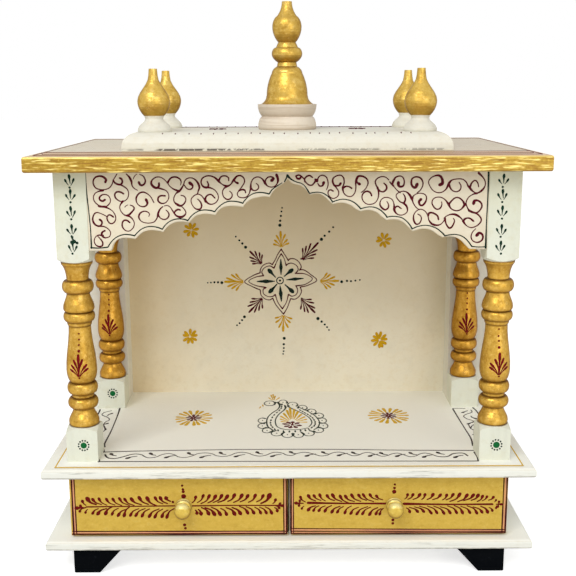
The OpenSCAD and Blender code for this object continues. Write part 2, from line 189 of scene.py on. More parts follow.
class Mat:
    """Builds one procedural material. Coordinates are the frame's own, in metres."""

    def __init__(self, name, rough=0.6, metal=0.0, spec=0.5, edge_tint=WHITE):
        self.mat = bpy.data.materials.new(name)
        self.mat.use_nodes = True
        self.tree = clear_tree(self.mat.node_tree)
        out = self.new("ShaderNodeOutputMaterial")
        self.bsdf = self.new("ShaderNodeBsdfPrincipled", Roughness=rough, Metallic=metal,
                             Specular_IOR_Level=spec, Specular_Tint=edge_tint)
        self.link(self.bsdf.outputs[0], out.inputs["Surface"])
        self.coord = self.new("ShaderNodeTexCoord").outputs["Object"]
        split = self.new("ShaderNodeSeparateXYZ")
        self.link(self.coord, split.inputs[0])
        self.xyz = split.outputs
        face = self.new("ShaderNodeNewGeometry")
        split = self.new("ShaderNodeSeparateXYZ")
        self.link(face.outputs["Normal"], split.inputs[0])
        self.normal = split.outputs

    def new(self, kind, **inputs):
        return node_with(self.tree, kind, **inputs)

    def link(self, a, b):
        self.tree.links.new(a, b)

    def put(self, socket, value):
        if isinstance(value, (int, float, tuple)):
            socket.default_value = value
        else:
            self.link(value, socket)

    def stretched(self, scale):
        node = self.new("ShaderNodeMapping", Scale=scale)
        self.link(self.coord, node.inputs["Vector"])
        return node.outputs[0]

    def noise(self, scale, detail=4.0, rough=0.6, vector=None):
        node = self.new("ShaderNodeTexNoise", Scale=scale, Detail=detail, Roughness=rough)
        self.link(vector or self.coord, node.inputs["Vector"])
        return node.outputs["Fac"]

    def ramp(self, value, low, high, a=0.0, b=1.0):
        node = self.new("ShaderNodeMapRange", From_Min=low, From_Max=high, To_Min=a, To_Max=b)
        self.put(node.inputs["Value"], value)
        return node.outputs[0]

    def math(self, op, a, b=None):
        node = self.new("ShaderNodeMath")
        node.operation = op
        self.put(node.inputs[0], a)
        if b is not None:
            self.put(node.inputs[1], b)
        return node.outputs[0]

    def add(self, a, b):
        return self.math("ADD", a, b)

    def sub(self, a, b):
        return self.math("SUBTRACT", a, b)

    def mul(self, a, b):
        return self.math("MULTIPLY", a, b)

    def mix(self, factor, a, b, mode="MIX"):
        node = self.new("ShaderNodeMix")
        node.data_type = "RGBA"
        node.blend_type = mode
        self.put(node.inputs[0], factor)
        self.put(node.inputs[6], a)
        self.put(node.inputs[7], b)
        return node.outputs[2]

    def darken(self, factor, color, r, g, b):
        """The colour multiplied by r, g, b where the factor is 1."""
        return self.mix(factor, color, (r, g, b, 1), "MULTIPLY")

    def bands(self, value, marks, soft):
        """1 near each of the marks (value and marks in the same unit), 0 elsewhere."""
        total = None
        for mark in marks:
            near = self.math("ABSOLUTE", self.sub(value, mark))
            near = self.ramp(near, soft, 0.0)
            total = near if total is None else self.math("MAXIMUM", total, near)
        return total

    def finish(self, color, rough, bump, strength=0.25, distance=0.0005):
        self.link(color, self.bsdf.inputs["Base Color"])
        self.link(rough, self.bsdf.inputs["Roughness"])
        node = self.new("ShaderNodeBump", Strength=strength, Distance=distance)
        self.link(bump, node.inputs["Height"])
        self.link(node.outputs[0], self.bsdf.inputs["Normal"])
        return self.mat


def brushed_cream(m, base, grain):
    """Hand-brushed cream paint: clouds, brush lines along the grain, fine dust."""
    cloud = m.noise(11, 3, 0.55)
    warm = m.noise(23, 2, 0.5)
    lump = m.noise(170, 3, 0.55)
    fine = m.noise(420, 3, 0.7)
    line = m.noise(95, 4, 0.62, m.stretched(grain))
    c = m.mix(m.ramp(cloud, 0.35, 0.7), base, shade(base, 1.06))
    c = m.mix(m.ramp(warm, 0.45, 0.75, 0, 0.35), c, tinted(base, 1.0, 0.93, 0.83))
    c = m.mix(m.ramp(line, 0.50, 0.80, 0, 0.35), c, shade(base, 0.80))
    c = m.mix(m.ramp(lump, 0.52, 0.72, 0, 0.35), c, tinted(base, 0.92, 0.86, 0.74))
    c = m.mix(m.ramp(fine, 0.55, 0.8, 0, 0.22), c, shade(base, 0.72))
    height = m.add(m.mul(line, 1.4), m.mul(fine, 0.45))
    height = m.add(height, m.mul(lump, 0.9))
    return c, m.ramp(line, 0.3, 0.7, 0.46, 0.64), height


def cream(name, base, grain, edge=None):
    m = Mat(name, spec=0.4)
    c, rough, height = brushed_cream(m, base, grain)
    if edge:
        c = edge(m, c)
    return m.finish(c, rough, height, 0.35)


def brushed_gold(m, base, grain, scale, mottle=1.0):
    """Gold paint: light and deep patches, brush streaks along the grain, a few bright flecks, and painted shade on
    faces that look down.
    """
    cloud = m.noise(48, 3, 0.6)
    line = m.noise(scale, 3, 0.6, m.stretched(grain))
    fleck = m.noise(360, 3, 0.7)
    deep = tinted(base, 0.55, 0.42, 0.22)
    pale = tinted(base, 1.30, 1.42, 2.2)
    c = m.mix(m.ramp(cloud, 0.42, 0.68, 0, 0.30 * mottle), base, deep)
    c = m.mix(m.ramp(line, 0.55, 0.72, 0, 0.70 * mottle), c, pale)
    c = m.mix(m.ramp(line, 0.45, 0.28, 0, 0.60 * mottle), c, deep)
    c = m.mix(m.ramp(fleck, 0.54, 0.68, 0, 0.60 * mottle), c, pale)
    c = m.mix(m.ramp(fleck, 0.44, 0.32, 0, 0.45 * mottle), c, deep)
    # painted shade: a deeper gold on the faces that look down
    c = m.mix(m.ramp(m.normal[2], 0.05, -0.75, 0, 0.62), c, shade(deep, 0.85))
    height = m.add(m.mul(line, 1.2), m.mul(fleck, 0.8))
    return c, m.ramp(line, 0.3, 0.7, 0.42, 0.26), height


def gold(name, base, grain, metal=0.6, scale=150, mottle=1.0):
    m = Mat(name, metal=metal, edge_tint=GOLD_EDGE)
    c, rough, height = brushed_gold(m, base, grain, scale, mottle)
    return m.finish(c, rough, height, 0.4)


def line_paint(name, base, deep=0.6, rough=0.5):
    """Paint drawn on with a fine cone: slightly uneven in tone."""
    m = Mat(name, rough=rough, spec=0.1)
    tone = m.noise(260, 3, 0.6)
    fine = m.noise(900, 2, 0.6)
    c = m.mix(m.ramp(tone, 0.4, 0.7), base, shade(base, deep))
    return m.finish(c, m.ramp(fine, 0.3, 0.7, rough - 0.08, rough + 0.12), fine, 0.2, 0.0002)


# ---------------------------------------------------------------- raised paint

SUNK = -0.08  # the rim of a stroke or dot lies this far below the surface, in mm
DOME = ((-1, SUNK), (-0.6, 0.75), (0, 1), (0.6, 0.75), (1, SUNK))  # across and up, as shares
CAPS = ((0.92, 0.25), (0.55, 0.75))  # rows past each end: distance and width, as shares
DOT_RINGS = ((1.0, SUNK), (0.72, 0.7))
DOT_RISE = 1.3


def polar(u, v, ru, rv, a):
    """The point at angle a on the ellipse around (u, v)."""
    return (u + ru * math.cos(a), v + rv * math.sin(a))


def evenly(a, b, n):
    """n + 1 points from a to b."""
    return [(a[0] + (b[0] - a[0]) * i / n, a[1] + (b[1] - a[1]) * i / n) for i in range(n + 1)]


def smooth_path(points, step=0.9):
    """Catmull-Rom curve through the points, a station about every step mm."""
    pts = [Vector(p) for p in points]
    if len(pts) == 2:
        n = max(2, math.ceil((pts[1] - pts[0]).length / (step * 1.6)))
        return [pts[0].lerp(pts[1], i / n) for i in range(n + 1)]
    ext = [2 * pts[0] - pts[1]] + pts + [2 * pts[-1] - pts[-2]]
    path = []
    for i in range(1, len(ext) - 2):
        a, b, c, d = ext[i - 1:i + 3]
        n = max(1, math.ceil((c - b).length / step))
        for k in range(n):
            t = k / n
            path.append(0.5 * (2 * b + (c - a) * t + (2 * a - 5 * b + 4 * c - d) * t * t
                               + (3 * b - a - 3 * c + d) * t * t * t))
    path.append(pts[-1])
    return path


def spread(values, t):
    """Value at share t of an evenly spread list, eased between its entries."""
    if len(values) == 1:
        return values[0]
    at = min(max(t, 0.0), 1.0) * (len(values) - 1)
    i = min(int(at), len(values) - 2)
    k = at - i
    k = k * k * (3 - 2 * k)
    return values[i] * (1 - k) + values[i + 1] * k


def on_front(y):
    return lambda u, v, rise: Vector((u, y - rise, v)) * MM


def on_top(z):
    return lambda u, v, rise: Vector((u, v, z + rise)) * MM


def on_node(name):
    """Drawn from the front onto a rounded node: x and z are kept, y is where the node is met."""
    data = NODES[name].data
    tree = BVHTree.FromPolygons([v.co for v in data.vertices], [p.vertices for p in data.polygons])
    low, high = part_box(name)
    middle = (low.x + high.x) / 2

    def place(u, v, rise):
        x = u * MM
        for _ in range(200):
            hit, normal, _, _ = tree.ray_cast(Vector((x, low.y - 0.01, v * MM)), Vector((0, 1, 0)))
            if hit is not None:
                return hit + normal * rise * MM
            x = middle + (x - middle) * 0.97
        raise ValueError("nothing of %s at height %s" % (name, v))
    return place


def closed_piece(name, verts, faces, mat, flat_from=math.inf):
    """An object of closed surfaces; faces with fewer corners than flat_from are shaded smooth."""
    mesh = bpy.data.meshes.new(name)
    mesh.from_pydata([tuple(v) for v in verts], [], faces)
    work = bmesh.new()
    work.from_mesh(mesh)
    bmesh.ops.recalc_face_normals(work, faces=work.faces)
    work.to_mesh(mesh)
    work.free()
    for face in mesh.polygons:
        face.use_smooth = len(face.vertices) < flat_from
    mesh.materials.append(mat)
    return add_object(name, mesh)


def ring_faces(rows, n):
    """Faces between neighbouring rows of n vertices, the vertices numbered row by row."""
    return [(k * n + i, k * n + (i + 1) % n, (k + 1) * n + (i + 1) % n, (k + 1) * n + i)
            for k in range(rows - 1) for i in range(n)]


class Brush:
    """Raised paint of one colour, gathered into one mesh of closed strokes, dots and drops."""

    def __init__(self, name, mat, slot="cream_paint", body="temple", place=None, rise=0.28, seed=1,
                 weight=1.0):
        self.name, self.mat, self.slot, self.body = name, mat, slot, body
        self.place, self.rise, self.weight = place, rise, weight
        self.verts, self.faces = [], []
        self.chance = random.Random(seed)

    def stroke(self, points, widths=(0.8,), shaky=0.1):
        """A domed line through the points; widths are spread along it and its ends are round."""
        pts = [(u + self.chance.uniform(-shaky, shaky), v + self.chance.uniform(-shaky, shaky))
               for u, v in points]
        path = smooth_path(pts)
        length = [0.0]
        for a, b in zip(path, path[1:]):
            length.append(length[-1] + (b - a).length)
        stations = []
        for i, p in enumerate(path):
            ahead = path[min(i + 1, len(path) - 1)] - path[max(i - 1, 0)]
            ahead = ahead.normalized() if ahead.length > 1e-6 else Vector((1, 0))
            stations.append((p, ahead, spread(widths, length[i] / length[-1]) * self.weight))
        first, last = stations[0], stations[-1]
        head = [(first[0] - first[1] * first[2] / 2 * c, first[1], first[2] * k) for c, k in CAPS]
        tail = [(last[0] + last[1] * last[2] / 2 * c, last[1], last[2] * k) for c, k in reversed(CAPS)]
        rows = []
        for p, t, w in head + stations + tail:
            n = Vector((-t.y, t.x)) * w / 2
            rise = self.rise * min(1.0, 0.45 + w * 0.5)
            rows.append(range(len(self.verts), len(self.verts) + len(DOME)))
            for across, up in DOME:
                q = p + n * across
                self.verts.append(self.place(q.x, q.y, up * rise if up > 0 else up))
        for a, b in zip(rows, rows[1:]):
            for i in range(len(DOME)):
                j = (i + 1) % len(DOME)
                self.faces.append((a[i], a[j], b[j], b[i]))
        self.faces.append(tuple(reversed(rows[0])))
        self.faces.append(tuple(rows[-1]))

    def dot(self, u, v, d, tall=1.0, sides=12):
        """A round blob; tall stretches it along v."""
        base = len(self.verts)
        d = d * self.weight
        for r, up in DOT_RINGS:
            for i in range(sides):
                a = 2 * math.pi * i / sides
                self.verts.append(self.place(u + math.cos(a) * d / 2 * r, v + math.sin(a) * d / 2 * r * tall,
                                             up * self.rise * DOT_RISE if up > 0 else up))
        self.verts.append(self.place(u, v, self.rise * DOT_RISE))
        top = base + 2 * sides
        for i in range(sides):
            j = (i + 1) % sides
            self.faces.append((base + i, base + j, base + sides + j, base + sides + i))
            self.faces.append((base + sides + i, base + sides + j, top))
        self.faces.append(tuple(base + i for i in reversed(range(sides))))

    def dots(self, places):
        for u, v, d in places:
            self.dot(u, v, d)

    def drop(self, head, tail, width, bend=0.0):
        """A teardrop with its round head at head and its thin end at tail."""
        a, b = Vector(head), Vector(tail)
        side = Vector((-(b - a).y, (b - a).x)) * bend
        self.stroke([a, a.lerp(b, 0.5) + side, b],
                    (width * 0.85, width, width * 0.62, width * 0.42, width * 0.32, width * 0.26), 0.05)

    def spindle(self, a, b, width):
        """A straight stroke, widest in its middle."""
        self.stroke([a, b], (width * 0.25, width * 0.6, width, width * 0.6, width * 0.3), 0.05)

    def done(self):
        obj = closed_piece(self.name, self.verts, self.faces, self.mat)
        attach(obj, self.body)


def finish_all(*brushes):
    for brush in brushes:
        brush.done()


# ---------------------------------------------------------------- painted ornaments
# Places are in millimetres in the frame's own axes: (x, z) on front faces, (x, y) on level ones.
# Widths run along a stroke. Dots are (place, place, diameter).

MAROON = line_paint("maroon_line", srgb(84, 2, 22), 0.7)
CRIMSON = line_paint("crimson_line", srgb(116, 4, 12), 0.6)
RED_BROWN = line_paint("red_brown_line", srgb(104, 8, 4), 0.7)
SALMON = line_paint("salmon_band", srgb(224, 158, 116), 0.9, 0.55)
DARK_LINE = line_paint("dark_border_line", srgb(70, 8, 10), 0.5)
DEEP_GREEN = line_paint("deep_green_line", srgb(8, 34, 22), 0.7)
SPRIG_GREEN = line_paint("sprig_green_line", srgb(8, 46, 30), 0.5)
LEAF_GREEN = line_paint("leaf_green_line", srgb(14, 100, 50), 0.75)
BLACK_LINE = line_paint("black_line", srgb(10, 36, 24), 0.6)
GREY_LINE = line_paint("grey_line", srgb(44, 30, 28), 0.75)
OCHRE = line_paint("ochre_line", srgb(212, 164, 18), 0.85)
PALE_OCHRE = line_paint("pale_ochre_line", srgb(222, 178, 34), 0.85)
FLOOR_MAROON = line_paint("floor_maroon_line", srgb(92, 0, 26), 0.8)

VALANCE_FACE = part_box("front_valance")[0].y / MM
PANEL_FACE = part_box("back_panel")[0].y / MM
FLOOR_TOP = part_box("floor_board")[1].z / MM
ROOF_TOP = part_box("roof_board")[1].z / MM
PLINTH_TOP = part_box("roof_plinth")[1].z / MM

HEAD = (1.9, 1.2, 0.85, 0.8)

# The scrolls of the valance, widths and points of each stroke.
SCROLLS_LEFT = [
    (HEAD, [(-161.2, 367.3), (-160.6, 369.4), (-162.8, 371.7), (-166.2, 372.5), (-170, 371.3), (-172, 368.2),
     (-171.6, 364.4), (-169.3, 361.7), (-165.5, 360.5), (-161.6, 360.7), (-158.2, 362), (-155.5, 365.2),
     (-154.4, 368.4), (-152.8, 371.3), (-150.8, 374.2)]),
    ((1.2, 1.6, 1.5, 1.7), [(-154.3, 368.8), (-152.8, 366.5), (-149.7, 365), (-147.4, 365.4), (-146.2, 367.5),
     (-146.9, 369.8), (-148.2, 370.7)]),
    ((1.3, 0.8, 0.8, 1.3, 1.4), [(-148.6, 365.1), (-145, 363.3), (-142, 360.5), (-141.1, 356.7), (-142.4, 352.6),
     (-145.8, 350.2), (-149.7, 350.5), (-152.8, 353.2), (-153.4, 356.3), (-151.6, 358.4), (-148.2, 358.4),
     (-145.7, 356.8)]),
    ((1.6, 0.8, 0.9, 1.6, 1.3, 0.8), [(-146.4, 350.2), (-148.9, 346.8), (-149.3, 343.6), (-147.8, 340.2),
     (-145, 337.8), (-142, 337.9), (-138.9, 340.5), (-136.6, 343.6), (-137.8, 345.9), (-140.1, 346.8)]),
    ((0.6, 0.7, 0.5), [(-144.9, 345), (-143.6, 346.3), (-142, 346.9)]),
    ((1.5, 0.8, 0.8, 1.3, 1.4), [(-143.6, 337.4), (-140.5, 336.3), (-137.8, 333.2), (-137, 329.8), (-138.5, 326),
     (-141.6, 323.6), (-145, 324), (-147.5, 327), (-147.8, 330.5), (-146.2, 333), (-143.5, 333.1), (-141.1, 331.3)]),
    ((1.7, 0.8, 0.8, 1.0, 1.9), [(-163.6, 359.9), (-166.6, 359.3), (-170.5, 357.5), (-172.4, 354), (-171.6, 350.2),
     (-168.9, 347.2), (-166.6, 345.8), (-162.2, 345.3)]),
    ((1.9, 1.0, 0.8, 0.9, 1.4, 1.7), [(-167.8, 345.9), (-162.5, 345.2), (-158.9, 347.5), (-157.4, 350.9),
     (-158.5, 354.4), (-161.2, 356.2), (-164.7, 355.9), (-167, 353.6), (-166.6, 351.4), (-164.3, 350.4),
     (-162.4, 351.6)]),
    ((1.4, 0.8, 0.9, 1.1, 1.1, 1.4), [(-162.5, 345.1), (-158.9, 343.6), (-155.5, 340.9), (-153.4, 336.7),
     (-153.9, 332.8), (-156.6, 330.3), (-159.3, 331), (-161.1, 334.4), (-160.6, 337), (-158.5, 338.2),
     (-155.5, 336.3)]),
    ((0.8, 0.8, 1.2, 1.6, 1.2, 1.8), [(-161.4, 336.7), (-164.7, 338.6), (-169.7, 340.3), (-172.4, 338.6),
     (-173.9, 334.4), (-172.8, 330.5), (-170, 328.3), (-167.4, 328.4), (-165.8, 330.4), (-166, 332.5),
     (-167.6, 333.9)]),
    ((1.6, 0.9, 0.8, 0.8, 1.7, 1.4), [(-169.4, 328.1), (-164.3, 327.7), (-160.5, 325.5), (-158.5, 322),
     (-159.7, 318.6), (-163.2, 317.5), (-165.6, 318.8), (-166.5, 321), (-165.5, 322.8), (-163.5, 323.9)]),
    ((1.5, 0.8, 0.8, 1.3, 1.2, 0.7), [(-165.4, 319.6), (-169.7, 319.8), (-172.4, 317.8), (-173.4, 314.4), (-172, 311),
     (-169.3, 309.6), (-166.6, 310.3), (-165.8, 312.9), (-167.4, 316), (-170.3, 319.2)]),
    ((1.0, 1.9, 1.0, 0.7), [(-142.4, 374.2), (-140.1, 371.7), (-138.2, 367.7), (-137.8, 364.4), (-136.2, 361.7),
     (-133.2, 359.9)]),
    ((0.6, 0.7, 0.5), [(-136.6, 369.8), (-135.1, 372.5), (-133.2, 374.2)]),
    ((0.7, 1.1, 1.5, 2.0), [(-130.8, 374), (-127.8, 372.5), (-126, 369), (-126.5, 366), (-128.9, 364.2),
     (-130.7, 364.9), (-131.7, 366.8)]),
    ((2.2, 1.2, 0.8, 1.4, 1.2, 0.8, 0.9), [(-125.8, 351.5), (-124.7, 348.6), (-125.8, 346.3), (-128.5, 345.3),
     (-132, 346.3), (-134.3, 349.4), (-134.3, 353.6), (-132, 357), (-128.5, 358.2), (-125, 357.1), (-121.6, 354),
     (-119, 349)]),
    ((0.7, 1.0, 1.4, 0.8, 0.8, 0.9, 1.6, 0.9), [(-123.9, 336.7), (-123.2, 338.6), (-124.7, 340.5), (-127.8, 341.3),
     (-131.2, 339.8), (-132.8, 336.3), (-131.2, 332.8), (-127.8, 331), (-123.5, 330.6), (-119.3, 331.7),
     (-116.6, 335.2), (-115.7, 338.8), (-113.9, 342.8), (-111.2, 345.3)]),
    ((1.6, 0.9, 1.1, 1.2, 0.8), [(-115.6, 339), (-115, 337), (-113.2, 334.8), (-110, 333.8), (-107, 335.2),
     (-105.8, 338.2), (-107, 340.9), (-108.3, 342.1)]),
    ((0.7, 0.8, 1.3, 1.9, 0.9, 0.8), [(-109.7, 345.9), (-107, 346.3), (-104.7, 344.8), (-102.8, 342), (-101.2, 339.4),
     (-99.3, 337.1), (-95.8, 335.9), (-92.4, 337.1), (-90.8, 339.8), (-92.4, 343.2), (-94.6, 345.5)]),
    ((1.1, 1.5, 1.3), [(-101, 339.5), (-100.1, 341.3), (-97.8, 342.6), (-95.8, 342.2)]),
    ((1.6, 2.0, 1.0, 0.8, 0.8, 1.7, 0.9, 0.9, 1.7, 1.0), [(-113.9, 366), (-114.1, 363.6), (-115.8, 361.9),
     (-118.9, 363), (-120.8, 366), (-119.7, 369), (-116.6, 371.2), (-112.8, 371.4), (-109.3, 369.4), (-106.2, 365.9),
     (-104.3, 363.2), (-100.8, 360.6), (-96.2, 359.3), (-93.5, 362.5), (-92, 365.3), (-91.2, 367.9), (-88.8, 370.2),
     (-85.4, 370.7), (-82.1, 369.2), (-79.6, 366.1), (-78.3, 362.3), (-79.4, 358.8), (-80, 356.6)]),
    ((1.6, 1.3, 1.4, 1.2, 0.6), [(-106.2, 366.3), (-105, 368.6), (-102.8, 370.9), (-98.9, 371.5), (-95.5, 369.8),
     (-94.3, 367.1), (-95, 364.4)]),
    ((1.5, 0.8, 0.8, 1.4, 1.3), [(-115, 362), (-111.6, 361), (-107.8, 359.4), (-105.7, 355.9), (-106.2, 351.7),
     (-108.9, 348.6), (-112.4, 348.2), (-115.2, 350.5), (-114.7, 353.6), (-112.4, 355), (-108.9, 354.9)]),
    ((1.9, 0.8, 0.9, 2.0, 1.2, 0.9, 0.9), [(-96, 359.2), (-99.3, 356.7), (-101.2, 352.8), (-100.8, 349.4),
     (-98.2, 347.1), (-95, 346), (-92, 348.2), (-90.5, 351.7), (-92, 354.4), (-94.7, 355.3)]),
    ((2.6, 1.3, 1.0, 0.9), [(-86.6, 366.1), (-84.2, 363.8), (-85, 361.3), (-87.5, 360.5), (-90, 361.9),
     (-91.6, 364.4)]),
    ((0.8, 0.9, 0.9, 1.8), [(-83.5, 354.9), (-80, 356.3), (-77.1, 355.3), (-74.6, 352.4), (-73, 349.6)]),
    ((0.8, 0.8, 0.8, 1.4, 1.3, 0.8), [(-82.3, 355.5), (-85, 353.2), (-86, 350.3), (-84.6, 346.1), (-81.7, 343.1),
     (-78.3, 342.9), (-76.7, 345.3), (-77.1, 348.2), (-78.8, 350.7), (-80.2, 351.9)]),
    ((1.7, 1.2, 1.1), [(-73.4, 350.4), (-72.9, 353.4), (-70.8, 355.5), (-67.9, 355.8), (-64.8, 352.8)]),
    ((1.5, 0.8, 0.8, 0.9, 1.6), [(-71.6, 362.2), (-68.3, 361.7), (-64.6, 359.7), (-62.1, 356.1), (-61.8, 352.3),
     (-63.8, 349), (-67.5, 347.2), (-70.8, 348), (-73, 350.4)]),
    ((1.0, 1.8, 1.2, 1.0, 1.2, 1.7), [(-71.3, 367.4), (-70.3, 364.8), (-71, 362.4), (-73.8, 362.4), (-76, 364.4),
     (-76.7, 367.3), (-75.4, 370.3), (-72.1, 372.2), (-68.3, 372.3), (-64.6, 370.8), (-61.6, 368.1)]),
    ((1.9, 0.9, 1.7, 1.0, 1.7), [(-61.6, 368.1), (-59.2, 365.7), (-56.3, 363.9), (-53.3, 363.4), (-50.4, 365),
     (-47.9, 368.7)]),
    ((1.8, 1.2, 1.0, 0.9, 0.8, 0.9, 0.8, 1.4), [(-47.8, 368.8), (-45, 371.9), (-41.7, 372.5), (-39, 370.3),
     (-38.3, 366.9), (-40.4, 363.2), (-42.9, 359.8), (-44.8, 356.7), (-43.8, 354), (-40.4, 352.9), (-36.7, 353.8),
     (-34.2, 356.9), (-32.9, 361.6)]),
    ((1.7, 0.9, 0.9, 1.0, 1.8), [(-32.9, 361.8), (-32.5, 366.1), (-30.4, 369.8), (-26.7, 371.3), (-22.9, 369.8),
     (-20.3, 366.2)]),
    ((1.9, 0.9, 0.9, 1.0, 1.9, 2.3), [(-20.3, 366), (-17.9, 363.3), (-14.2, 362.3), (-10.8, 363.7), (-8.8, 367.3),
     (-9, 370.3), (-10, 372.9)]),
    ((1.6, 1.2, 1.1, 1.0), [(-61.2, 367.6), (-60, 370.3), (-57.9, 372.1), (-54.6, 372.2), (-52.4, 370.4),
     (-52.4, 368.2)]),
    ((1.6, 0.9, 0.9, 1.2, 1.0, 0.7), [(-53.4, 363.3), (-56.3, 361.5), (-57.9, 358.2), (-57.1, 354), (-54.2, 351.6),
     (-51.3, 352), (-49.4, 354.8), (-50, 357.3), (-51.7, 358.8)]),
    ((1.2, 1.4, 1.9), [(-47.6, 369), (-46.3, 366.9), (-44.4, 365.9)]),
    ((1.3, 1.5, 1.0), [(-43.4, 359.2), (-40.8, 360.1), (-38.3, 359.7), (-37.5, 357.4)]),
    ((1.7, 1.0, 1.0, 0.8), [(-32.9, 362), (-31.3, 359.8), (-28.3, 359.4), (-26, 361.5), (-26.3, 364),
     (-27.9, 365.5)]),
    ((2.6, 1.2, 1.0, 1.2), [(-14.2, 368.3), (-12.6, 369.9), (-14.6, 371.4), (-17.5, 370.9), (-19.6, 368.7),
     (-20.2, 365.9)]),
]

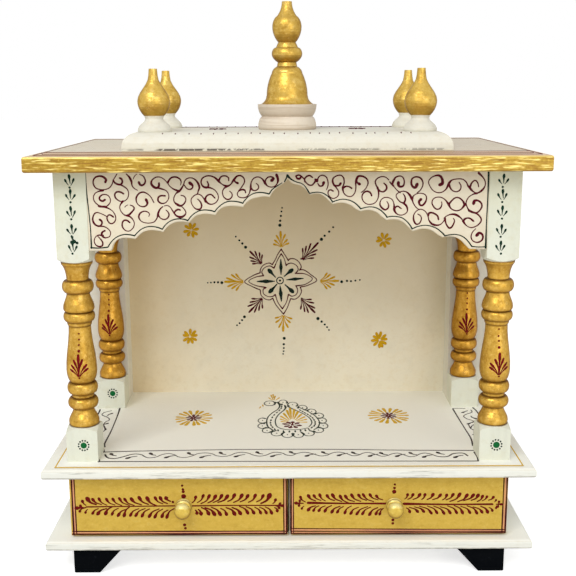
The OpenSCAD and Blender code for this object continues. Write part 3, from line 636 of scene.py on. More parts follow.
SCROLLS_RIGHT = [
    ((1.4, 1.3, 1.0, 1.0, 1.1, 1.3, 1.8), [(7.1, 371.9), (9.6, 372.8), (12.1, 371.6), (14.4, 369.2), (15.8, 366.5),
     (18.8, 364), (21.7, 364.2), (24.1, 367), (24.8, 368.7)]),
    ((1.2, 1.7, 1.6), [(7.2, 371.8), (8.1, 370), (10.4, 369.5), (11.4, 370.9)]),
    ((1.2, 1.3, 1.2), [(15, 366.9), (15, 369.8), (17.1, 371.9), (19.6, 372.2), (21.7, 370.7)]),
    ((1.8, 1.0, 1.0, 0.9, 0.7), [(24.4, 368.8), (26, 367), (26.5, 369.6), (28.3, 371.9), (31.3, 372.5), (34.2, 370.7),
     (35.4, 366.9), (35.4, 363.2), (34.2, 359.8)]),
    ((2.4, 1.4, 1.2, 0.9), [(31.6, 366), (30.8, 363.6), (28.3, 363), (26.5, 365.3)]),
    ((1.2, 0.9, 0.8, 0.9, 1.5, 1.0, 1.1, 1.1), [(40, 358.6), (37.9, 359.7), (35.8, 358.6), (35.8, 355.7), (37.9, 353),
     (40.8, 352), (44.2, 354), (45, 357.8), (42.9, 361.5), (40.8, 364), (39.6, 366.7), (40, 369.8), (42.9, 371.9),
     (46.7, 372.5), (49.2, 370.3), (49.8, 366.5), (48.8, 362.4)]),
    ((1.9, 0.9, 0.8, 0.9, 1.0, 1.9), [(48.8, 362.2), (48.8, 359), (50.4, 355.7), (53.3, 353.9), (56.7, 354),
     (59.2, 356.9), (60.2, 361), (60, 365.3), (60.5, 368.4)]),
    ((2.0, 1.5, 1.2, 0.8, 0.8), [(60.6, 368.6), (62.1, 371.4), (65.8, 371.6), (69.6, 369.4), (71, 365.7),
     (69.6, 361.9), (67.5, 359.1), (65, 357.4)]),
    ((1.5, 1.4, 1.9), [(40.8, 363.7), (42.9, 363.3), (45.4, 363.6), (46.6, 365.3)]),
    ((1.7, 1.2, 1.3), [(49, 361.6), (51.7, 362.8), (54.6, 362.3), (56.5, 361)]),
    ((1.4, 1.4, 2.4), [(60.7, 368.4), (61.4, 366), (63.4, 364.7)]),
    ((1.3, 1.4, 0.9, 0.8, 0.8, 1.3, 1.1, 0.9, 0.8), [(74.3, 354.4), (72.9, 357.2), (70, 358.3), (67.1, 356.9),
     (65.7, 353.6), (66.7, 349.8), (70, 347), (74.2, 346.8), (77.9, 348.6), (80, 352.3), (80.4, 356.9), (79.4, 361.3),
     (78.2, 363.4), (77.3, 366.5), (78.8, 369.4), (82.5, 371.1), (86.3, 370.7), (89.2, 368.3)]),
    ((1.7, 1.2, 1.5, 1.1), [(79.3, 361.6), (80, 360), (82.1, 358.2), (85, 357.9), (87.3, 360.3), (87.1, 363.2),
     (85, 365.3)]),
    ((0.7, 1.3, 1.5, 0.8, 0.8, 0.8, 1.7), [(87.9, 349.2), (89.3, 346.5), (89.2, 343.6), (86.7, 341.8), (83.8, 343.2),
     (81.7, 346.5), (82.5, 350.3), (85.4, 352.5), (89.2, 352.6), (92.5, 350.7), (94.2, 346.9), (94.4, 342.4)]),
    ((1.9, 0.8, 0.8, 1.7, 0.9, 0.8, 0.9, 1.9, 0.9, 0.8), [(94.4, 342.2), (95.7, 339.4), (98.8, 337.2), (102.6, 337.2),
     (105.7, 339.4), (106.3, 342.1), (105.3, 345.2), (102.6, 347.6), (99.5, 349), (96.8, 352.1), (96.1, 354.8),
     (98.4, 357.1), (102.2, 358.2), (105.7, 357.1), (108.4, 354.4), (110.3, 350.5), (111.5, 347.5), (113.8, 344),
     (116.8, 341.7)]),
    ((1.5, 1.3, 1.0), [(94.5, 342), (95.7, 344), (97.7, 344.9), (100.7, 342.9)]),
    ((0.8, 1.3, 1.6), [(102.2, 355.9), (103.8, 353.6), (104.2, 350.5), (103, 347.8)]),
    ((1.0, 1.8, 1.2, 0.9, 1.2, 1.7, 2.5), [(90.2, 366.5), (92, 364.5), (93.4, 367.5), (95.3, 370.5), (99.2, 371.7),
     (101.8, 370.2), (103, 366.7), (102.2, 363.2), (99.9, 362.2), (98, 363.2), (97.7, 365.8)]),
    ((1.8, 0.8, 0.8, 1.0), [(92.4, 364.4), (94.5, 361.7), (96.8, 359), (99.5, 357.1)]),
    ((2.6, 1.7, 1.2, 1.3, 0.9, 0.8), [(114.4, 364.2), (113, 361.6), (110.7, 362.1), (109.2, 365.2), (109.9, 369.3),
     (113.4, 370.9), (117.2, 369.8), (119.4, 366.3), (119.2, 362.5), (117.2, 359), (114.5, 356.7)]),
    ((1.6, 0.8, 0.8, 0.9, 1.5, 1.6, 2.2), [(110.4, 350.5), (111.1, 353.6), (113.4, 355.5), (116.8, 356.4),
     (121.1, 355.5), (123, 352.8), (122.2, 348.6), (119.5, 345.6), (117.2, 346.3), (116.5, 349), (118, 350.9)]),
    ((0.8, 1.0, 1.5, 0.8, 0.8, 0.9, 1.8, 0.8, 0.8, 1.8, 0.8), [(115.7, 337.8), (118, 336.3), (118.9, 333.6),
     (117.6, 329.9), (114.9, 328.6), (112.6, 331), (111.8, 335.2), (113, 339), (116.1, 341.7), (119.5, 341.9),
     (122.6, 339.8), (124.8, 336), (125.7, 332.5), (128.4, 329.1), (132.6, 327.7), (136.5, 328.7), (139.2, 332.1),
     (139.9, 334.8), (141.8, 336.3), (145.3, 337.5), (149.5, 337.1), (153.4, 334.8), (156.1, 331.8)]),
    ((1.9, 0.8, 0.9, 1.2, 1.2, 1.3, 1.9), [(156.2, 331.6), (158, 328.7), (161.5, 326), (165.3, 325.7), (169.5, 327.8),
     (172.2, 331.3), (171.8, 334.4), (168.8, 337.5), (164.9, 339.2), (161, 340.8)]),
    ((1.7, 1.4, 1.4), [(124.9, 336.5), (125.7, 338.6), (128, 339), (131.1, 337.8), (133.4, 335.8), (134.2, 333)]),
    ((1.8, 1.2, 1.5, 1.2, 0.8), [(139.8, 334), (141.1, 329), (143.8, 325.3), (146.1, 326), (148, 329.4),
     (148.5, 332.1), (147.4, 333.8)]),
    ((1.9, 1.2, 1.6), [(156.3, 331.7), (158.4, 333.6), (161.8, 334), (165.3, 331.5)]),
    ((0.7, 0.9, 1.0, 1.3, 1.7, 2.6), [(167.6, 324.4), (164.9, 321.3), (163.8, 317.5), (165.3, 313.8), (169.2, 312.1),
     (173, 313.4), (174.5, 316.7), (173.4, 319.6), (170.9, 320.6), (169, 318.6)]),
    ((2.6, 2.0, 1.0, 0.8, 0.8, 0.9, 1.8), [(134.6, 363.8), (136.7, 365), (136.6, 368.2), (134.9, 371.3),
     (131.8, 372.1), (127.2, 370.5), (124.5, 366.7), (125.7, 362.8), (128.8, 358.7), (133, 356.8), (137.2, 357.5),
     (140.3, 360.2), (142.3, 364.8)]),
    ((1.9, 0.9, 0.9, 1.0, 1.9, 0.9, 1.7, 0.9, 1.0, 1.9), [(142.4, 365), (144.9, 367.8), (149.5, 368.9),
     (154.2, 368.7), (157.6, 366.4), (159.5, 362.8), (161.1, 361), (164.2, 357.8), (168, 356.5), (171.8, 358.6),
     (174.5, 362.5), (174.5, 366.7), (172.2, 370.5), (168.6, 374.1)]),
    ((1.8, 1.0, 1.1, 0.8), [(142.4, 364.6), (144.2, 360.5), (146.8, 358.2), (149.9, 357.6), (152.6, 359.4),
     (153.2, 362.8), (151.5, 365.9)]),
    ((1.8, 1.2, 1.1, 0.9), [(161.2, 361.2), (162.6, 365.2), (165.5, 367.6), (168, 365.5), (168.9, 362)]),
    ((1.7, 0.8, 0.9, 1.0, 1.8, 1.2, 1.4, 1.5, 2.6), [(168, 356.3), (164.2, 355.2), (160.3, 352.5), (158.4, 348.2),
     (159.2, 344.4), (161.8, 340.6), (167.2, 338.7), (170.3, 340.5), (172.5, 344.4), (171.1, 348.2), (168, 349.9),
     (165.7, 349.3), (165, 347.3)]),
    ((0.8, 1.2, 1.2, 0.9, 0.8, 0.9, 1.8), [(136.5, 348.6), (136.8, 345.9), (135.3, 343), (132.6, 342.1), (129.9, 344),
     (128, 347.5), (128.8, 350.9), (132.2, 352.8), (136.5, 352.5), (139.9, 350.2), (142.8, 346.4)]),
    ((1.9, 1.0, 1.0, 1.1, 2.0), [(142.9, 346.2), (145.3, 342.5), (149.9, 340.6), (154.2, 342.2), (157.1, 346)]),
    ((2.0, 1.3, 1.1, 1.2, 1.8), [(157.2, 346.2), (154.9, 349.9), (151.6, 352.3), (148.4, 352.1), (145.3, 349.4),
     (142.8, 346.3)]),
]

# The green outline of the valance: side lines, the cusps between its arcs and the strokes of its tip.
VALANCE_SIDES = (
    ([(-179, 375.5), (-178.3, 360), (-176.9, 340), (-176.3, 325), (-176.2, 308.4)], (1.7, 1.1, 0.9, 0.9, 1.4)),
    ([(-176.6, 308.6), (-169, 308.3), (-161.6, 308.9)], (1.3, 1.0, 1.2)),
    ([(177.2, 375.5), (177.4, 355), (177.2, 330), (177.2, 307.2)], (1.6, 1.1, 1.0, 1.7)),
    ([(177.2, 308.2), (170, 307.9), (164.8, 308.6)], (1.0, 0.9, 1.0)))
CUSPS_LEFT = [
    (-161.3, 309.2), (-137.1, 319.3), (-112.2, 325.1), (-89.1, 332.8), (-65.2, 340.5), (-40.2, 348.1), (-16.6, 356.1),
    (0, 372.3)]
CUSPS_RIGHT = [
    (0, 372.3), (19.4, 356.6), (39.6, 348.9), (64.6, 342.7), (88.2, 335.1), (110.8, 324.6), (140.3, 318.2),
    (164.6, 308.7)]
VALANCE_TIP = (
    ([(-16.6, 356.3), (-14, 360), (-10, 363), (-5, 366)], (1.2, 0.9, 0.7)),
    ([(-3.2, 367), (-1.4, 370), (-0.4, 372.6)], (0.9, 1.1, 1.8)),
    ([(-0.3, 372.6), (2.5, 369.5), (7.5, 366.8), (12, 365.4), (15.5, 362.4), (19.2, 356.8)], (1.9, 0.9, 0.8, 1.1)))

# The lower edge of the valance from one post to the other, one list of (x, z) per scallop.
VALANCE_EDGE = [
    [(-178.5, 305.5), (-158.6, 305.6)],
    [(-158.6, 305.6), (-156.6, 311), (-153, 315.2), (-148, 317), (-142, 316.9), (-136.5, 316.2)],
    [(-136.5, 316.2), (-133.4, 319.4), (-129, 322.6), (-123, 324), (-117, 323.6), (-111.6, 322.3)],
    [(-111.6, 322.3), (-108.4, 326.2), (-104, 329.6), (-99, 331.3), (-93.5, 331.5), (-88, 330.8)],
    [(-88, 330.8), (-85, 334.4), (-81, 337.2), (-75, 338.5), (-69.6, 338.2), (-64.7, 337.4)],
    [(-64.7, 337.4), (-61.8, 341.4), (-57, 344.5), (-51, 345.5), (-45, 345.2), (-40, 344.6)],
    [(-40, 344.6), (-36.8, 348.4), (-32, 351.7), (-26, 353.2), (-21, 353.9), (-16.2, 353.3)],
    [(-16.2, 353.3), (-13.6, 357.6), (-10, 361.6), (-5.4, 364.6), (-2.4, 366.6), (0, 369.6)],
    [(0, 369.6), (2.6, 366.4), (6, 364.8), (11, 363.6), (15.2, 360.6), (19.4, 355.2)],
    [(19.4, 355.2), (24, 356.2), (28.6, 355.9), (33, 353.2), (36.8, 349.4), (39.8, 346.9)],
    [(39.8, 346.9), (45, 347.9), (50.6, 347.7), (56, 345.6), (60.8, 342.2), (64.6, 340.3)],
    [(64.6, 340.3), (69.6, 341.4), (75, 341), (79.8, 338.7), (84, 335), (87.8, 332.4)],
    [(87.8, 332.4), (93, 332.9), (98.6, 332.4), (103.6, 329.8), (107.8, 325.6), (111.4, 322.2)],
    [(111.4, 322.2), (117, 323.9), (123, 324.4), (128.6, 322.8), (133.4, 319.4), (138.2, 316.6)],
    [(138.2, 316.6), (144, 317.4), (150, 316.6), (155, 313.8), (159, 309.8), (162.8, 306)],
    [(162.8, 306), (178.5, 305.6)],
]


def arched(a, b, share=0.2):
    """Points of a shallow arc from a to b, bulging upwards."""
    a, b = Vector(a), Vector(b)
    n = Vector((-(b - a).y, (b - a).x)) * share
    return [a.lerp(b, t) + n * 4 * t * (1 - t) for t in (0, 0.12, 0.3, 0.5, 0.7, 0.88, 1)]


def carve_valance():
    """The front valance with its hand-sawn scallops, each a little different, and eased edges."""
    low, high = (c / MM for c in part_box("front_valance"))
    path = []
    for scallop in VALANCE_EDGE:
        path += [tuple(p) for p in smooth_path(scallop, 1.0)][:-1]
    path.append(VALANCE_EDGE[-1][-1])
    verts = []
    top = high.z - 0.02
    for x, z in path:
        section = ((high.y, top), (low.y, top), (low.y, z + 1.3), (low.y + 0.35, z + 0.45), (low.y + 1.3, z),
                   (high.y - 0.8, z), (high.y, z + 0.8))
        verts += [Vector((x, y, up)) * MM for y, up in section]
    n = len(section)
    faces = ring_faces(len(path), n)
    faces.append(tuple(reversed(range(n))))
    faces.append(tuple(range(len(verts) - n, len(verts))))
    mat = cream("cream_valance", srgb(221, 211, 188), (0.14, 1, 1))
    board = closed_piece("scalloped_valance", verts, faces, mat, flat_from=0)
    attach(board, "temple")
    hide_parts("front_valance")


def paint_valance():
    scroll = Brush("valance_scrolls", MAROON, place=on_front(VALANCE_FACE), seed=3, weight=1.3)
    for widths, points in SCROLLS_LEFT + SCROLLS_RIGHT:
        scroll.stroke(points, widths, 0.05)
    scroll.done()

    edge = Brush("valance_outline", DEEP_GREEN, place=on_front(VALANCE_FACE), seed=4, weight=1.2)
    for points, widths in VALANCE_SIDES:
        edge.stroke(points, widths)
    for row in (CUSPS_LEFT[:-1], CUSPS_RIGHT[1:]):
        for a, b in zip(row, row[1:]):
            edge.stroke(arched(a, b), (1.0, 0.85, 1.0, 1.2))
    for points, widths in VALANCE_TIP:
        edge.stroke(points, widths)
    edge.done()


def fan(brush, base, tip, length, width=2.4, spread_out=1.0, turns=(14, 28, 44), shares=(0.84, 0.68, 0.56)):
    """A sprig: one long drop from base towards tip with shorter ones on both sides of it."""
    base, tip = Vector(base), Vector(tip)
    ahead = (tip - base).normalized()
    leaves = [(0, 1.0, 1.2)]
    for turn, share in zip(turns, shares):
        leaves += [(turn * spread_out, share, 1.0), (-turn * spread_out, share, 1.0)]
    for turn, share, heavy in leaves:
        a = math.radians(turn + brush.chance.uniform(-2, 2))
        way = Vector((ahead.x * math.cos(a) - ahead.y * math.sin(a),
                      ahead.x * math.sin(a) + ahead.y * math.cos(a)))
        reach = length * share * brush.chance.uniform(0.96, 1.04)
        bend = math.copysign(0.06, turn) if turn else 0
        brush.drop(base + way * reach, base + way * length * 0.06, width * heavy, bend)


# The star of the back panel: outer and inner outline, spindles (ends and width), drops and dots.
STAR_OUTER = [
    [(-7, 272), (-11, 266), (-14, 259.5), (-17, 254.6)],
    [(-17, 254.4), (-21, 256.4), (-27, 254), (-30.3, 249.4), (-30.8, 245.2)],
    [(-30.8, 245.2), (-39, 242), (-48.4, 235.2), (-40, 229.6), (-30.8, 225.4)],
    [(-30.8, 225.4), (-30, 219.4), (-25.4, 215), (-20.4, 213.9), (-16.8, 215.8)],
    [(-16.8, 215.6), (-13.8, 209), (-9.4, 203.2), (-4.6, 197.4)],
    [(-4.6, 197.4), (-0.4, 204.6), (3.5, 215.3)],
    [(3.5, 215.2), (8.4, 214.7), (13, 218), (15.6, 223.6), (14.4, 228.4)],
    [(14.4, 228.6), (23, 230.6), (33, 236.4), (26, 243), (19, 248), (13.6, 248.5)],
    [(13.8, 248), (15.4, 252), (12.8, 257.4), (8, 260.8), (3.4, 261), (1, 259.4)],
    [(1, 259), (-3, 265.6), (-7, 272)]]
STAR_INNER = [
    [(-7, 266.8), (-11, 260), (-15, 250.8)],
    [(-15.2, 250.6), (-20, 253), (-26, 250.8), (-28.9, 246), (-27, 241.9)],
    [(-27, 241.8), (-36, 240.2), (-43.8, 235.6), (-36, 230.6), (-24.4, 228.2)],
    [(-24.4, 228), (-27.4, 226), (-27, 221), (-22, 217.7), (-17, 218), (-14, 220.1)],
    [(-14, 220.1), (-11, 211.2), (-6, 203.6)],
    [(-6, 203.6), (-1.5, 211), (1, 220)],
    [(1, 220), (5, 218.1), (9.6, 220), (11.4, 225), (9.5, 230)],
    [(9.5, 230), (20, 231.8), (28, 238), (20, 243.6), (9, 244.5)],
    [(9, 244.3), (12, 248.4), (10, 253.4), (5, 256), (1, 255.4), (-1.5, 253.4)],
    [(-1.5, 253.4), (-4, 261.6), (-7, 266.8)]]
STAR_SPINDLES = (
    ((-7.3, 243), (-7.5, 260.4), 3.7),
    ((-8.4, 230), (-7, 212.6), 4.1),
    ((-14.6, 235.4), (-34, 235.2), 4.2),
    ((-1, 237), (17.6, 238.6), 3.6))
STAR_DROPS = (
    ((-20.6, 248), (-13.6, 240)),
    ((4.8, 248.2), (-3.8, 241)),
    ((-19.8, 223.4), (-12, 232)),
    ((5.6, 223.4), (-2.8, 231.4)))
STAR_EYE = (-8.5, 236.2)
STAR_DOTS = (
    [(-8.4, 299, 3.3), (-8, 304, 2.4), (-7.2, 309.4, 2.2), (-6.5, 314.4, 1.9), (-5.8, 318.5, 1.7)],
    [(38, 283, 3.4), (41.6, 287, 2.4), (46.6, 291.6, 2.4), (51, 296.6, 2)],
    [(-46.8, 274.4, 3.2), (-50.4, 278.6, 2.5), (-53.8, 282.2, 2), (-57.6, 286.4, 1.8)],
    [(-74, 234, 3.1), (-78.4, 234.5, 2.4), (-82.4, 234.5, 2.2), (-86.4, 234.2, 1.8), (-90, 234, 1.5)],
    [(61, 234.6, 3), (67, 235.5, 2.4), (71.5, 235.2, 2.2), (76.5, 235.8, 2), (81.5, 236.6, 1.8)],
    [(-4, 169, 3.2), (-4.5, 162, 2.5), (-4.5, 157.5, 2.1), (-4.8, 153.8, 1.9), (-5.3, 150.6, 1.8)],
    [(-49, 194.4, 3), (-51.8, 190.6, 2.2), (-54.6, 187, 2), (-57.6, 184.6, 1.9)],
    [(34.4, 192, 3.5), (38.6, 188.4, 2.5), (42.2, 185, 2.2), (44.8, 182, 2), (47, 178.6, 1.8)])
# Sprigs of the star, as for fan: base, tip, length, width, spread and shares.
WIDE, CLOSE = (0.8, 0.62, 0.52), (0.82, 0.66, 0.52)
OCHRE_SPRIGS = (((-6.8, 274), (-8, 293), 18, 2.7, 1.45, WIDE),
                ((-49, 235), (-69, 234.4), 21, 2.8, 1.05, (0.9, 0.76, 0.6)),
                ((36, 235.4), (57, 235.6), 21, 2.6, 1.1, (0.84, 0.68, 0.56)),
                ((-4.8, 196.4), (-5, 178), 19, 2.7, 1.5, WIDE))
MAROON_SPRIGS = (((16, 259), (34, 279.8), 26, 2.0, 0.85, CLOSE),
                 ((-28.5, 255), (-43.5, 271), 20, 2.0, 1.05, CLOSE),
                 ((-28, 216.5), (-45, 199), 23, 2.0, 0.95, CLOSE),
                 ((15, 215.5), (32, 197), 23, 2.0, 0.95, CLOSE))
# Small ochre flowers: place, radius and number of petals.
PANEL_FLOWERS = ((-107, 293.8, 9, 8), (107.6, 281.6, 9, 8), (-111.4, 171.4, 9.4, 9), (105, 166.6, 10, 10))


def paint_panel():
    on_panel = on_front(PANEL_FACE)
    maroon = Brush("panel_outlines", MAROON, place=on_panel, seed=5, weight=1.2)
    green = Brush("panel_petals", DEEP_GREEN, place=on_panel, seed=6, weight=1.2)
    ochre = Brush("panel_ochre_sprigs", OCHRE, place=on_panel, seed=7)
    for line in STAR_OUTER:
        maroon.stroke(line, (1.3, 0.95, 0.95, 1.3))
    for line in STAR_INNER:
        maroon.stroke(line, (1.4, 0.9, 0.9, 1.4))
    for a, b, w in STAR_SPINDLES:
        green.spindle(a, b, w)
    for a, b in STAR_DROPS:
        green.drop(a, b, 4.6)
    green.stroke([polar(*STAR_EYE, 3.8, 3.8, t * math.pi / 6) for t in range(13)], (1.1,), 0.03)
    green.dot(*STAR_EYE, 2.3)
    for row in STAR_DOTS:
        green.dots(row)

    for brush, sprigs in ((ochre, OCHRE_SPRIGS), (maroon, MAROON_SPRIGS)):
        for base, tip, length, width, spread_out, shares in sprigs:
            fan(brush, base, tip, length, width, spread_out, shares=shares)
    maroon.dots([(15.4, 261, 1.9), (-30.8, 257, 1.9), (16, 215.4, 2)])

    for u, v, r, n in PANEL_FLOWERS:
        for i in range(n):
            a = 2 * math.pi * (i + 0.3) / n + ochre.chance.uniform(-0.12, 0.12)
            k = r * ochre.chance.uniform(0.92, 1.05)
            ochre.stroke([polar(u, v, k - 1.8, k - 1.8, a), polar(u, v, 1.8, 1.8, a)], (3.7, 4.1, 2.9, 1.4), 0.1)
    finish_all(maroon, green, ochre)


def sprig(brush, u, v):
    """Green sprig of the head blocks: a drop, a leaf on each side and a dot below."""
    j = brush.chance.uniform
    brush.drop((u + j(-0.4, 0.4), v), (u + j(-0.3, 0.5), v - 7.2), 2.4)
    for s in (-1, 1):
        brush.drop((u + s * (3.8 + j(-0.5, 0.5)), v - 3.8 + j(-0.6, 0.6)),
                   (u + s * (1.0 + j(-0.2, 0.4)), v - 8.4 + j(-0.6, 0.6)), 1.9, 0.04 * s)
    brush.dot(u + j(-0.6, 0.6), v - 10.6, 1.8)


# The place of each column of sprigs and the heights of its sprigs.
HEAD_SPRIGS = ((-192.7, (373.2, 360.2, 345, 329, 314)), (190.5, (372.4, 359, 344.2, 327.8, 312.6)))
# Ringed dots on the base blocks: the post in whose front plane they lie, place and diameter.
BASE_EYES = (("post_front_left", -191.6, 121.6, 6.4), ("post_front_left", 194.4, 120.5, 6.8),
             ("post_rear_left", -191.5, 122.5, 6.6))
# Sprays on the turned shafts: node, place, then the dots above, from that place.
SHAFT_SPRAYS = (
    ("post_front_left", -192.9, 190.5, ((0.9, 37.8, 1.8), (1, 32.4, 2), (0.7, 27.4, 2.1), (0.5, 21.8, 3))),
    ("post_front_right", 194, 190.5, ((-0.8, 40.6, 1.8), (-1, 34.2, 2), (-0.6, 29.6, 2.2), (-0.4, 23.6, 3))),
    ("post_rear_left", -192.5, 191.5, ((0.5, 40.6, 1.9), (0.3, 35, 2), (0.4, 29.6, 2.1), (0, 23, 2.6))),
    ("post_rear_right", 193, 191.5, ((0, 40.6, 1.9), (0.2, 35, 2), (0, 29.6, 2.1), (0, 23, 2.6))))


def paint_posts():
    on_heads = on_front(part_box("post_front_left")[0].y / MM)
    green = Brush("head_block_sprigs", SPRIG_GREEN, "painted_post", place=on_heads, seed=8, weight=1.25)
    for u, heights in HEAD_SPRIGS:
        for v in heights:
            sprig(green, u, v)
    green.stroke([(-193.2, 319), (-192.4, 316.5), (-191, 314.6)], (1.9, 1.4, 1.8))
    green.dots(((-193, 313.6, 3.2), (-191, 314.3, 3), (-188.6, 313, 2.3), (-192.6, 312.4, 2)))
    green.done()

    eyes = Brush("base_block_eyes", LEAF_GREEN, "painted_post", seed=9)
    rims = Brush("base_block_rims", BLACK_LINE, "painted_post", seed=10)
    for node, u, v, d in BASE_EYES:
        eyes.place = rims.place = on_front(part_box(node)[0].y / MM)
        eyes.dot(u, v, d, sides=18)
        for i in range(12):
            a = 2 * math.pi * i / 12 + 0.2
            rims.dot(*polar(u, v, d / 2 + 1.6, d / 2 + 1.6, a), 1.9, sides=8)
    finish_all(eyes, rims)

    fans = Brush("baluster_fans", CRIMSON, "painted_post", seed=11, weight=1.02)
    for node, u, z, dots in SHAFT_SPRAYS:
        fans.place = on_node(node)
        for du, dv, d in dots:
            fans.dot(u + du, z + dv, d)
        fan(fans, (u, z - 3), (u - 0.3, z + 18), 20.6, 2.7, turns=(14, 31, 47), shares=(0.78, 0.64, 0.52))
        fans.dot(u + 0.2, z - 3.6, 2.0)
    fans.done()


# Straight border lines of the floor, points and widths.
EVEN = (1.5, 1.2, 1.2, 1.2, 1.5)
FLOOR_LINES = (
    ([(-178.6, -137.8), (-100, -138.2), (0, -139), (100, -139.8), (177.4, -140.4)], EVEN),
    ([(-178.4, -113.6), (-150, -111.6), (-90, -109.6), (-30, -108.4), (40, -109), (110, -112), (178.2, -113.4)],
        EVEN),
    ([(-178.8, -132.5), (-178.2, -138)], (1.4, 1.8)),
    ([(-179.2, -107.6), (-178, -113.6)], (1.4, 1.8)),
    ([(177.6, -140.2), (178.4, -130), (178, -117.4)], (1.3, 1.0, 1.3)),
    ([(-184.4, 18), (-183.2, 0), (-182, -30), (-181.2, -60), (-181.4, -90), (-179.6, -100)],
        (1.6, 1.1, 1.0, 1.2, 1.4)),
    ([(179.6, 9.6), (180.2, -20), (181.2, -50), (182, -80), (180, -101)], (1.4, 1.2, 1.0, 1.2, 1.4)),
    ([(180, 10.6), (186, 11), (193, 10.4)], (0.9, 0.8)),
    ([(-205.2, 12), (-204.6, 0), (-205, -50), (-204.6, -106)], (1.4, 0.9, 0.9)),
    ([(202.2, 13.4), (204.2, -2), (205, -50), (204.6, -106)], (1.4, 0.9, 0.9)))
# The wavy vine of the front border and the places of the leaves below and above it.
FLOOR_VINE = [
    (-175.4, -120.4), (-173, -126), (-169, -129.6), (-163, -129.8), (-157, -125.6), (-151.6, -120.8), (-146, -118.8),
    (-140.4, -121), (-136.4, -126.6), (-132, -128.8), (-126, -127), (-120.8, -120.6), (-115, -118.2), (-109.4, -121),
    (-104.6, -126.8), (-98.4, -128.4), (-92, -124.8), (-87, -119), (-80, -117), (-73.4, -119.2), (-68.8, -124),
    (-62, -126.4), (-56, -123.8), (-51, -118), (-45, -116), (-38.6, -118.2), (-34, -123), (-28, -125.8),
    (-22, -123.8), (-17, -118.2), (-12, -116), (-6, -118.4), (-2, -123.2), (3, -124.4), (8.4, -119.2), (16, -116.6),
    (23.6, -120.6), (30, -125.8), (36, -124.6), (42, -118.4), (49, -116.6), (55.6, -120.6), (61, -125.8),
    (66.6, -124.4), (71.4, -119.2), (77, -118), (83, -122.8), (88.4, -127.4), (94, -125.8), (99, -121.2),
    (104.4, -119.6), (109.6, -123.8), (115, -128.8), (120.6, -127), (125.4, -122), (130.4, -120), (136, -122.8),
    (141, -128), (147, -129.8), (152, -127.6), (156.4, -122.2), (162, -120.2), (167.4, -120.8), (170, -127)]
LEAVES_BELOW = (
    (-153, -129.6), (-116.4, -128.2), (-83, -128.2), (-50.4, -126.6), (-16, -126.4), (17, -125.8), (47.6, -124.8),
    (76.8, -127), (102.6, -127.6), (128, -129.8), (157.4, -130.8))
LEAVES_ABOVE = (
    (-170, -119.4), (-132.4, -118.6), (-96, -118), (-65.6, -117.4), (-30.4, -116.4), (2, -116.2), (32.8, -117.2),
    (61.6, -118.4), (88.4, -119.8), (116.4, -120), (143, -119.4))
# The vines of the side borders, widths and points.
SIDE_VINES = (
    ((0.9,), [(-192, 8), (-195.4, 5.4), (-199, 2), (-200, -5), (-196, -10), (-191.4, -15), (-189, -22), (-192, -28),
     (-192.4, -36), (-190, -43), (-188, -51), (-190.4, -60), (-196.6, -66), (-197, -74), (-191, -81), (-188.4, -90),
     (-193, -98)]),
    ((2.4, 1.2, 0.8), [(-190, -1), (-192.4, -4), (-194, -10)]),
    ((2.6, 1.0, 0.7), [(-189.2, -32.6), (-192, -35.6), (-194.4, -39)]),
    ((0.8, 1.2, 2.0), [(-191.6, -40.6), (-189.4, -46), (-187.8, -51)]),
    ((2.4, 1.2, 0.8), [(-199, -62), (-197, -66), (-193.4, -70)]),
    ((2.4, 1.2, 0.8), [(-187.6, -78), (-190, -82), (-194, -85)]),
    ((0.9,), [(198.4, 5.6), (198, -2), (190.4, -9), (187, -15), (188.8, -23), (194, -29), (193, -34), (188, -38),
     (187, -52), (189.4, -58), (187.2, -70), (191, -78), (197, -84), (196.4, -92), (190.6, -98)]),
    ((2.6, 1.2, 0.8), [(188, -2.6), (191, 0), (194.4, 3)]),
    ((1.0, 1.6, 2.8), [(194.8, -14.6), (195.4, -18.4), (198.4, -22.4)]),
    ((2.6, 1.2, 0.8), [(187, -38.6), (190.4, -35.6), (193.6, -32)]),
    ((0.8, 1.0, 1.2), [(192.4, -41), (189.4, -46), (187, -52)]),
    ((2.2, 1.0, 0.8), [(186.6, -70.6), (189, -66.4), (190.6, -62)]),
    ((2.4, 1.2, 0.8), [(199, -80), (196, -83), (192, -85)]))
# Daisies: place, the two radii and the number of rays.
DAISIES = ((-100.6, -16.4, 18.4, 23, 17), (107.2, -12, 20.4, 22.6, 18))
# The paisley: outlines with widths, petals (place and radii) and ticks (place and slope).
PAISLEY_LINES = (
    ([(-11.6, 34), (-10, 28.4), (-9.2, 22), (-10, 15), (-12.2, 8), (-16, 1), (-19.4, -7), (-21.8, -16), (-22.6, -26),
        (-22.4, -36), (-20.8, -45), (-17.4, -52), (-14.8, -58.6)], (1.8, 1.1, 1.0, 1.2, 1.4)),
    ([(11.4, 17), (16.4, 11), (20.4, 4.6), (24.8, -3), (28.4, -11), (31, -20), (32.6, -30), (32, -40), (30, -48),
        (26.4, -53.6)], (1.4, 1.0, 1.0, 1.2)),
    ([(-3.6, 23), (-2.8, 15.6), (-4.4, 8), (-7.4, 1), (-10.2, -7), (-12.6, -17), (-13.6, -28), (-13, -38),
        (-11.2, -45), (-8.4, -49.6)], (1.8, 1.1, 1.0, 1.0)),
    ([(-0.4, 20), (3.4, 14), (8, 7.4), (13.4, 0), (18.8, -9.4), (22.8, -19), (24.6, -30), (23.8, -38), (21.4, -45)],
        (1.6, 1.1, 1.0, 1.0)),
    ([(-8.4, -50), (-2, -53.4), (6, -54), (14, -52.4), (20, -48.6)], (0.9,)))
